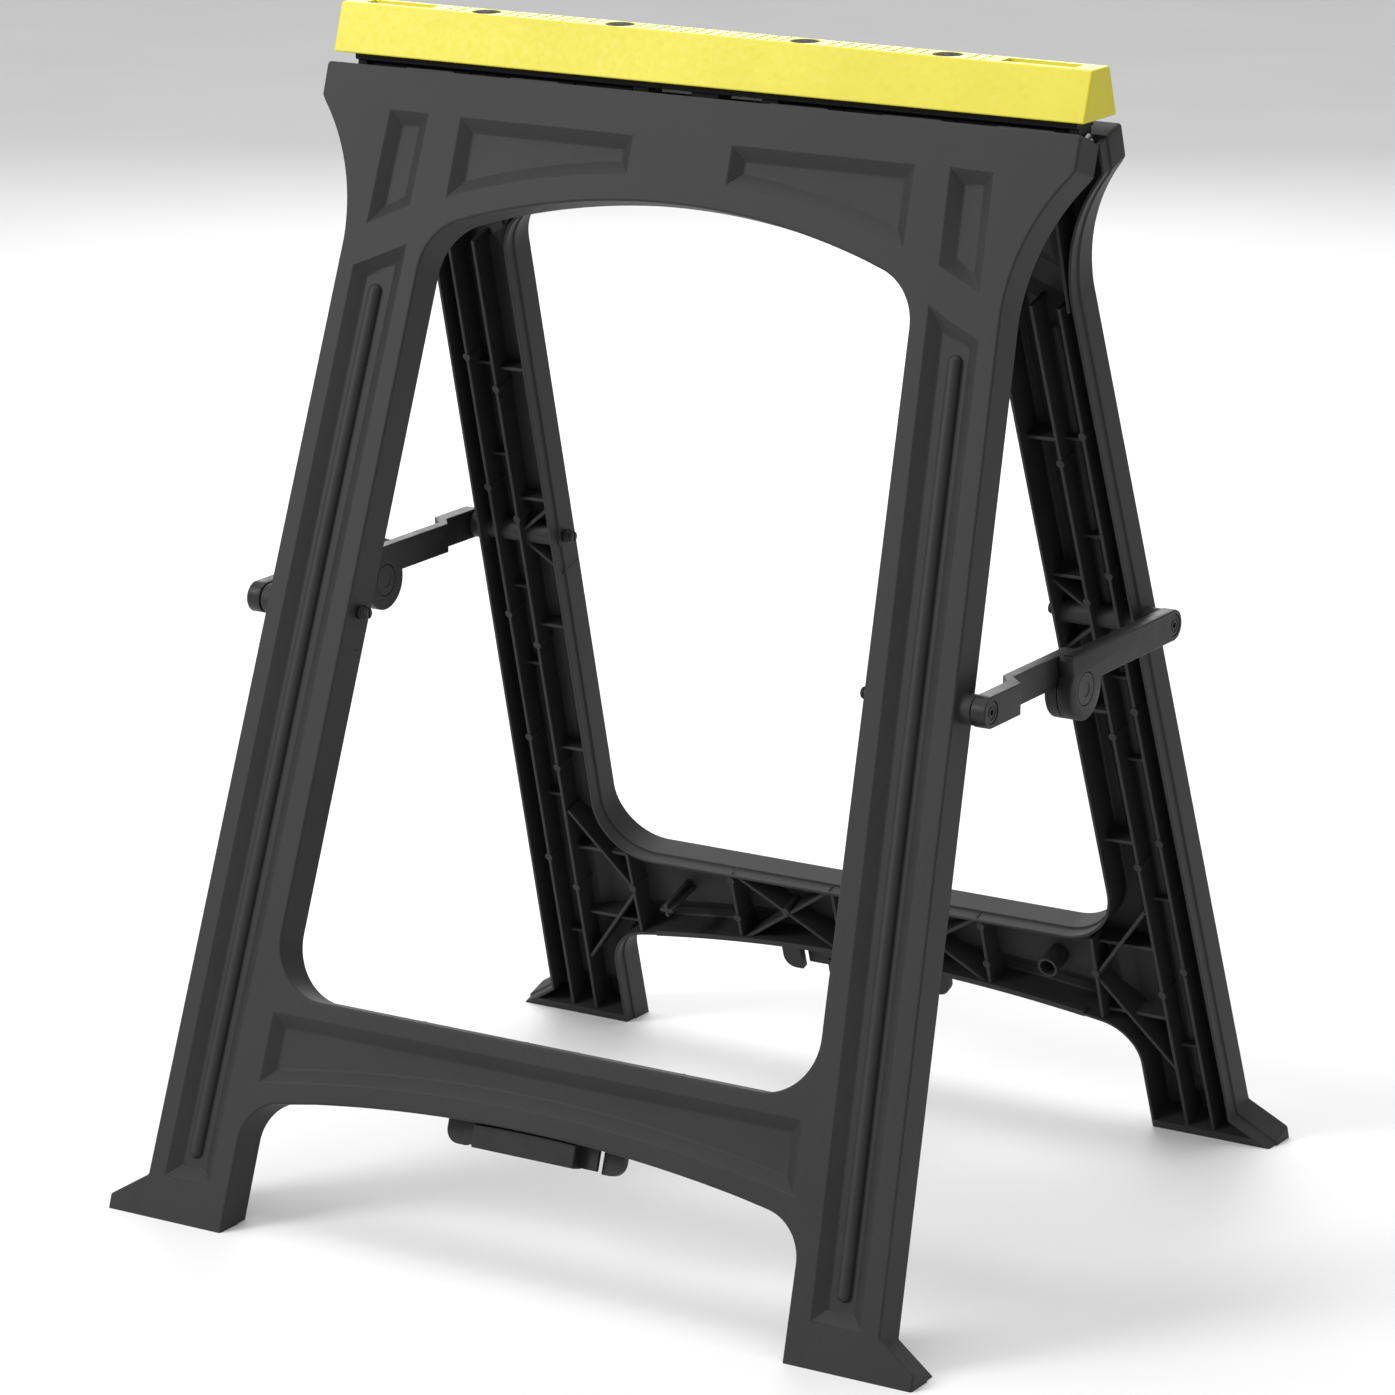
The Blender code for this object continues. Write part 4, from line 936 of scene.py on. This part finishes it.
def reversed_y(mesh, name):
    """A mesh mirrored so that it runs along -Y."""
    copy = mesh.copy()
    copy.name = name
    copy.transform(Matrix.Diagonal((1, -1, 1, 1)))
    copy.flip_normals()
    return copy


def pivot_pin_mesh():
    """Pin through a leg: ringed head in the link, ribbed snap end past the opening side."""
    outer = LINK_OUTER - 0.4 * MM
    head = [(outer - 2.6 * MM, 7 * MM), (outer - 0.6 * MM, 7 * MM), (outer - 0.1 * MM, 6.8 * MM),
            (outer, 6.3 * MM), (outer, 4.9 * MM), (outer - 0.6 * MM, 4.6 * MM), (outer - 0.6 * MM, 3.4 * MM),
            (outer, 3.1 * MM), (outer, 2.0 * MM), (outer - 2.2 * MM, 1.8 * MM), (outer - 2.2 * MM, 0)]
    barb = [(PIN_INNER_END, 0), (PIN_INNER_END, 3.3 * MM), (PIN_INNER_END + 0.4 * MM, 3.7 * MM)]
    for number in range(3):
        start = PIN_INNER_END + (0.9 + 1.7 * number) * MM
        wide = (4.1 + 0.5 * number) * MM
        barb += [(start, wide - 0.5 * MM), (start + 0.5 * MM, wide), (start + 1.0 * MM, wide),
                 (start + 1.3 * MM, wide - 0.5 * MM)]
    shaft = [(FLANGE_AT_PIVOT - 1.0 * MM, PIN_RADIUS), (outer - 2.6 * MM, PIN_RADIUS)]
    body = turned(barb + shaft + head, 48)
    slot = block((PIN_INNER_END - 1 * MM, -0.8 * MM, -8 * MM), (PIN_INNER_END + 9 * MM, 0.8 * MM, 8 * MM))
    body = combine(body, "DIFFERENCE", [slot])
    return finished(body, "pivot_pin", 40)


def joint_pin_mesh(low, high, cap_side):
    """Half of the centre pin, with a broad flat cap on its outer side."""
    cap, thick, soft = 10.4 * MM, 1.5 * MM, 0.35 * MM
    if cap_side > 0:
        profile = [(low, 0), (low, JOINT_PIN_RADIUS), (high - thick, JOINT_PIN_RADIUS), (high - thick, cap),
                   (high - soft, cap), (high, cap - soft), (high, 5.2 * MM), (high - 0.4 * MM, 4.8 * MM),
                   (high - 0.4 * MM, 0)]
    else:
        profile = [(low + 0.4 * MM, 0), (low + 0.4 * MM, 4.8 * MM), (low, 5.2 * MM), (low, cap - soft),
                   (low + soft, cap), (low + thick, cap), (low + thick, JOINT_PIN_RADIUS),
                   (high, JOINT_PIN_RADIUS), (high, 0)]
    return finished(turned(profile, 56), "joint_pin", 40)


# ---------------------------------------------------------------- latch

def tab_outline(half, gap, bottom):
    """Outline of a plate of the pull tab, its top following the crossbar's lower edge."""
    top = [(across, bar_drop(across) + gap) for across in spread(-half, half, 20)]
    return top + [(half, bottom), (-half, bottom)]


def latch_tab_mesh():
    """Pull tab on a wider back plate, with a guide post into the crossbar and a hook behind."""
    half, front, back, roof = 37.5 * MM, 21 * MM, 9 * MM, -651 * MM
    body = prism(tab_outline(half, 1.1 * MM, 663 * MM), back + 1 * MM, front, in_panel, soft=1.1 * MM,
                 segments=3)
    plate = prism(tab_outline(49.5 * MM, 0.6 * MM, 662.5 * MM), back, back + 3 * MM, in_panel, soft=0.4 * MM)
    hollow = block((-half + 2.5 * MM, -front + 2.8 * MM, -664 * MM),
                   (half - 2.5 * MM, -back - 2.5 * MM, roof))
    guide = round_bar((0, -12 * MM, roof + 1.5 * MM), (0, -12 * MM, -624 * MM), 3 * MM, 32, soft=0.5 * MM)
    arm = block((12 * MM, -back - 1 * MM, -656 * MM), (24 * MM, 6.9 * MM, -652 * MM), soft=0.4 * MM)
    barb = block((12.1 * MM, 3.6 * MM, -655.6 * MM), (23.9 * MM, 6.8 * MM, -645.6 * MM), soft=0.4 * MM)
    ribs = [block(((x - 0.7) * MM, 2.2 * MM - front, -662 * MM),
                  ((x + 0.7) * MM, -back - 2 * MM, roof + 1 * MM))
            for x in (-24, -12, 6, 18, 30)]
    body = combine(body, "UNION", [plate])
    body = combine(body, "DIFFERENCE", [hollow])
    body = combine(body, "UNION", [guide, arm, barb] + ribs)
    return finished(body, "latch_tab")


def latch_clip_mesh():
    """Push-on washer that holds the spring on the guide post."""
    profile = [(-1.2, 3.3), (-1.2, 5.5), (-0.9, 6.0), (-0.3, 6.0), (0, 5.6), (0, 3.3)]
    return ring_mesh([(radius, 0, z) for z, radius in profile], (0, 0, 1), "latch_clip")


def spring_mesh(length):
    """Compression spring of round wire with closed ends."""
    turns, per_turn, radius = 5, 28, 4.6 * MM
    curve = bpy.data.curves.new("spring", "CURVE")
    curve.dimensions = "3D"
    curve.bevel_depth = 0.5 * MM
    curve.bevel_resolution = 3
    curve.use_fill_caps = True
    spline = curve.splines.new("POLY")
    count = turns * per_turn + 1
    spline.points.add(count - 1)
    for index, point in enumerate(spline.points):
        share = index / (count - 1)
        angle = 2 * math.pi * index / per_turn
        eased = share + 0.09 * math.sin(4 * math.pi * share) / 2
        point.co = (radius * math.cos(angle), radius * math.sin(angle), -length * eased, 1)
    obj = add_object("spring", curve)
    mesh = evaluated_mesh(obj)
    return finished(add_object("spring", mesh), "latch_spring", 60)


# ---------------------------------------------------------------- materials

class Shader:
    """A Principled material with short ways to add the nodes it needs."""

    def __init__(self, name, roughness, metallic=0.0, specular=0.5):
        self.material = bpy.data.materials.new(name)
        self.material.use_nodes = True
        self.nodes = self.material.node_tree.nodes
        self.links = self.material.node_tree.links
        self.surface = self.nodes["Principled BSDF"]
        self.surface.inputs["Roughness"].default_value = roughness
        self.surface.inputs["Metallic"].default_value = metallic
        self.surface.inputs["Specular IOR Level"].default_value = specular
        self.place = self.nodes.new("ShaderNodeTexCoord").outputs["Object"]

    def noise(self, scale, detail=3.0, roughness=0.5, stretch=None):
        node = self.nodes.new("ShaderNodeTexNoise")
        node.inputs["Scale"].default_value = scale
        node.inputs["Detail"].default_value = detail
        node.inputs["Roughness"].default_value = roughness
        place = self.place
        if stretch:
            mapping = self.nodes.new("ShaderNodeMapping")
            mapping.inputs["Scale"].default_value = stretch
            self.links.new(place, mapping.inputs["Vector"])
            place = mapping.outputs["Vector"]
        self.links.new(place, node.inputs["Vector"])
        return node.outputs["Fac"]

    def ranged(self, value, low, high, new_low, new_high):
        node = self.nodes.new("ShaderNodeMapRange")
        for name, number in (("From Min", low), ("From Max", high),
                             ("To Min", new_low), ("To Max", new_high)):
            node.inputs[name].default_value = number
        self.links.new(value, node.inputs["Value"])
        return node.outputs["Result"]

    def maths(self, operation, first, second):
        node = self.nodes.new("ShaderNodeMath")
        node.operation = operation
        for socket, value in zip(node.inputs, (first, second)):
            if isinstance(value, (int, float)):
                socket.default_value = value
            else:
                self.links.new(value, socket)
        return node.outputs["Value"]

    def mixed(self, share, first, second):
        """A colour between two colours or colour sockets."""
        node = self.nodes.new("ShaderNodeMix")
        node.data_type = "RGBA"
        self.links.new(share, node.inputs["Factor"])
        for socket, value in ((node.inputs["A"], first), (node.inputs["B"], second)):
            if isinstance(value, tuple):
                socket.default_value = (*value, 1)
            else:
                self.links.new(value, socket)
        return node.outputs["Result"]

    def edges(self, radius, gain=6.0):
        """1 on outside edges, where a highlight is painted, and 0 on flat faces."""
        bevel = self.nodes.new("ShaderNodeBevel")
        bevel.samples = 4
        bevel.inputs["Radius"].default_value = radius
        geometry = self.nodes.new("ShaderNodeNewGeometry")
        dot_product = self.nodes.new("ShaderNodeVectorMath")
        dot_product.operation = "DOT_PRODUCT"
        self.links.new(bevel.outputs["Normal"], dot_product.inputs[0])
        self.links.new(geometry.outputs["Normal"], dot_product.inputs[1])
        away = self.maths("SUBTRACT", 1.0, dot_product.outputs["Value"])
        return self.ranged(away, 0.0, 1 / gain, 0.0, 1.0)

    def bump(self, height, strength, distance):
        node = self.nodes.new("ShaderNodeBump")
        node.inputs["Strength"].default_value = strength
        node.inputs["Distance"].default_value = distance
        self.links.new(height, node.inputs["Height"])
        self.links.new(node.outputs["Normal"], self.surface.inputs["Normal"])

    def set(self, socket, value):
        self.links.new(value, self.surface.inputs[socket])


def frame_plastic():
    """Charcoal polypropylene: fine moulded grain, faint flow clouds, and outside edges made paler in patches
    as a painted highlight.
    """
    shader = Shader("frame_plastic", 0.6, specular=0.3)
    grain = shader.noise(1500, 2)
    speckle = shader.noise(620, 4, 0.65)
    clouds = shader.noise(16, 4, 0.6)
    tone = shader.maths("ADD", shader.maths("MULTIPLY", speckle, 0.55),
                        shader.maths("MULTIPLY", clouds, 0.45))
    colour = shader.mixed(shader.ranged(tone, 0.35, 0.65, 0, 1),
                          (0.0150, 0.0150, 0.0152), (0.0250, 0.0250, 0.0256))
    # Painted highlight: the outside edges are made paler in patches, standing in for light caught on their
    # rounding.
    painted_edge_highlight = shader.maths("MULTIPLY", shader.edges(0.9 * MM), shader.ranged(clouds, 0.3, 0.7, 0.25, 0.6))
    shader.set("Base Color", shader.mixed(painted_edge_highlight, colour, (0.055, 0.055, 0.056)))
    shader.set("Roughness", shader.ranged(tone, 0.3, 0.7, 0.52, 0.66))
    shader.bump(shader.maths("ADD", grain, shader.maths("MULTIPLY", speckle, 0.6)), 0.35, 0.12 * MM)
    return shader.material


def rail_plastic():
    """Lemon yellow polypropylene with a satin surface."""
    shader = Shader("rail_plastic", 0.42, specular=0.3)
    grain = shader.noise(1300, 2)
    clouds = shader.noise(11, 3)
    dust = shader.noise(240, 4, 0.7)
    colour = shader.mixed(shader.ranged(clouds, 0.35, 0.65, 0, 1),
                          (0.62, 0.545, 0.030), (0.67, 0.595, 0.040))
    colour = shader.mixed(shader.ranged(dust, 0.62, 0.8, 0, 0.25), colour, (0.52, 0.44, 0.04))
    # Painted highlight: the outside edges are made paler, standing in for light caught on their rounding.
    painted_edge_highlight = shader.maths("MULTIPLY", shader.edges(0.7 * MM), 0.35)
    shader.set("Base Color", shader.mixed(painted_edge_highlight, colour, (0.80, 0.74, 0.20)))
    shader.set("Roughness", shader.ranged(dust, 0.3, 0.7, 0.36, 0.5))
    shader.bump(grain, 0.2, 0.06 * MM)
    return shader.material


def link_plastic(name, dark, light, roughness):
    """Black nylon of the braces, pins and latches: smoother than the frames, with outside edges made paler
    in patches as a painted highlight.
    """
    shader = Shader(name, roughness, specular=0.3)
    clouds = shader.noise(60, 4, 0.6)
    grain = shader.noise(1100, 2)
    colour = shader.mixed(shader.ranged(clouds, 0.35, 0.65, 0, 1), dark, light)
    # Painted highlight: the outside edges are made paler in patches, standing in for light caught on their
    # rounding.
    painted_edge_highlight = shader.maths("MULTIPLY", shader.edges(0.8 * MM), shader.ranged(clouds, 0.3, 0.7, 0.3, 0.7))
    shader.set("Base Color", shader.mixed(painted_edge_highlight, colour, (0.05, 0.05, 0.051)))
    shader.set("Roughness", shader.ranged(clouds, 0.3, 0.7, roughness - 0.05, roughness + 0.07))
    shader.bump(grain, 0.18, 0.05 * MM)
    return shader.material


def pad_rubber():
    """Soft near-black rubber with a dusty bloom."""
    shader = Shader("pad_rubber", 0.8, specular=0.3)
    bloom = shader.noise(90, 4, 0.7)
    grain = shader.noise(2200, 2)
    shader.set("Base Color", shader.mixed(shader.ranged(bloom, 0.4, 0.75, 0, 1), (0.012, 0.012, 0.014),
                                          (0.03, 0.03, 0.032)))
    shader.set("Roughness", shader.ranged(bloom, 0.3, 0.7, 0.7, 0.88))
    shader.bump(grain, 0.3, 0.08 * MM)
    return shader.material


def zinc_steel(name, tint, stretch):
    """Zinc-plated or drawn steel with fine lines along its length."""
    shader = Shader(name, 0.32, metallic=1.0)
    lines = shader.noise(900, 3, 0.6, stretch)
    bloom = shader.noise(140, 4, 0.6)
    pale = tuple(channel * 1.18 for channel in tint)
    shader.set("Base Color", shader.mixed(shader.ranged(bloom, 0.35, 0.7, 0, 1), tint, pale))
    shader.set("Roughness", shader.ranged(lines, 0.3, 0.7, 0.26, 0.42))
    shader.bump(lines, 0.15, 0.03 * MM)
    return shader.material


def floor_material():
    shader = Shader("floor", 0.75, specular=0.3)
    tone = shader.noise(3.0, 3)
    shader.set("Base Color", shader.mixed(shader.ranged(tone, 0.3, 0.7, 0, 1), (0.80, 0.80, 0.80),
                                          (0.83, 0.83, 0.83)))
    return shader.material


MATERIALS = {
    "frame_plastic": frame_plastic(),
    "rail_plastic": rail_plastic(),
    "pad_rubber": pad_rubber(),
    "zinc_steel": zinc_steel("zinc_steel", (0.52, 0.53, 0.54), (0.02, 1, 1)),
    "spring_steel": zinc_steel("spring_steel", (0.42, 0.42, 0.43), (1, 1, 1)),
    "link_plastic": link_plastic("link_plastic", (0.009, 0.009, 0.0095), (0.015, 0.015, 0.016), 0.46),
    "pin_plastic": link_plastic("pin_plastic", (0.007, 0.007, 0.0075), (0.012, 0.012, 0.013), 0.4),
}


# ---------------------------------------------------------------- the sawhorse

SLOTS = {part["node"]: part["material_slot"] for part in frame["record"]["subparts"]}
BODY_OF = {node: body for body, nodes in frame["record"]["behaviour"]["bodies"].items() for node in nodes}
FRONT = Matrix.Translation(HINGE) @ Matrix.Rotation(-LEAN, 4, "X")
REAR = Matrix.Translation(HINGE) @ Matrix.Rotation(math.pi, 4, "Z") @ Matrix.Rotation(-LEAN, 4, "X")


def show(node, mesh, place=Matrix.Identity(4)):
    """A finished piece that stands for a CAD node and moves with its body."""
    placed = mesh.copy()
    placed.transform(place)
    placed.materials.append(MATERIALS[SLOTS[node]])
    piece = add_object(f"{node}_skin", placed)
    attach(piece, BODY_OF[node])
    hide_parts(node)
    return piece


def show_rail():
    show("top_rail", rail_mesh())
    show("hinge_carrier", carrier_mesh())
    pad = pad_mesh()
    for number in range(1, 5):
        low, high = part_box(f"grip_pad_{number}")
        show(f"grip_pad_{number}", pad, Matrix.Translation(((low.x + high.x) / 2, 0, HEIGHT)))
    show("hinge_rod", rod_mesh(), Matrix.Translation(HINGE))
    nut = push_nut_mesh()
    for name, turn in (("right", 0), ("left", math.pi)):
        low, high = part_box(f"rod_push_nut_{name}")
        place = Matrix.Translation(((low.x + high.x) / 2, 0, HINGE.z)) @ Matrix.Rotation(turn, 4, "Z")
        show(f"rod_push_nut_{name}", nut, place)


def show_legs():
    leg = leg_frame_mesh()
    tab, clip, spring = latch_tab_mesh(), latch_clip_mesh(), spring_mesh(14.8 * MM)
    for name, place in (("front", FRONT), ("rear", REAR)):
        show(f"{name}_leg_frame", leg, place)
        show(f"{name}_latch_tab", tab, place)
        show(f"{name}_latch_clip", clip, place @ Matrix.Translation(in_panel(0, 624.2 * MM, 12 * MM)))
        show(f"{name}_latch_spring", spring, place @ Matrix.Translation(in_panel(0, 626.4 * MM, 12 * MM)))


def show_braces():
    cranked = link_mesh(True)
    straight = reversed_y(link_mesh(False), "straight_link")
    pin = pivot_pin_mesh()
    face = LINK_OUTER - LINK_THICK
    outer = joint_pin_mesh(face + 0.1 * MM, LINK_OUTER, 1)
    inner = joint_pin_mesh(LAP_INNER, face - LAP_GAP - 0.1 * MM, -1)
    for side, turn in (("right", 0), ("left", math.pi)):
        whole = Matrix.Rotation(turn, 4, "Z")
        near, far = ("front", "rear") if turn == 0 else ("rear", "front")
        near_eye = whole @ Matrix.Translation((0, -PIVOT.y, PIVOT.z))
        far_eye = whole @ Matrix.Translation((0, PIVOT.y, PIVOT.z))
        centre = whole @ Matrix.Translation((0, 0, PIVOT.z - DISC_DROP))
        show(f"{side}_{near}_link", cranked, near_eye)
        show(f"{side}_{far}_link", straight, far_eye)
        show(f"{side}_{near}_pivot_pin", pin, near_eye)
        show(f"{side}_{far}_pivot_pin", pin, far_eye)
        show(f"{side}_joint_pin_inner", inner, centre)
        show(f"{side}_joint_pin_outer", outer, centre)


# ---------------------------------------------------------------- studio

def make_camera():
    data = bpy.data.cameras.new("camera")
    data.lens = 141.9
    data.sensor_width = 36
    data.shift_x = -0.0233
    camera = add_object("camera", data)
    camera.location = (1.7596, -2.9033, 1.2551)
    aim = Vector((-0.4968, 0.8265, -0.2649)).to_track_quat("-Z", "Y")
    roll = Matrix.Rotation(math.radians(0.15), 3, "Z").to_quaternion()
    camera.rotation_mode = "QUATERNION"
    camera.rotation_quaternion = aim @ roll
    bpy.context.scene.camera = camera


def area_light(name, place, target, size, power):
    data = bpy.data.lights.new(name, "AREA")
    data.shape = "RECTANGLE"
    data.size, data.size_y = size
    data.energy = power
    lamp = add_object(name, data)
    lamp.location = place
    lamp.rotation_mode = "QUATERNION"
    lamp.rotation_quaternion = (Vector(target) - Vector(place)).to_track_quat("-Z", "Y")


def make_studio():
    bm = bmesh.new()
    bmesh.ops.create_grid(bm, x_segments=1, y_segments=1, size=12)
    floor = object_from(bm, "floor")
    floor.data.materials.append(floor_material())
    world = bpy.data.worlds.new("studio")
    world.use_nodes = True
    background = world.node_tree.nodes["Background"]
    background.inputs["Color"].default_value = (1, 1, 1, 1)
    background.inputs["Strength"].default_value = 0.6
    bpy.context.scene.world = world
    bpy.context.scene.view_settings.view_transform = "Standard"
    middle = (0, 0, 0.4)
    area_light("key", (-2.4, -2.8, 2.4), middle, (1.4, 1.4), 95)
    area_light("top", (-0.4, 0.2, 3.4), middle, (2.4, 2.4), 60)
    area_light("back", (-1.6, 2.8, 1.8), middle, (1.8, 1.6), 40)


make_camera()
make_studio()
show_rail()
show_legs()
show_braces()
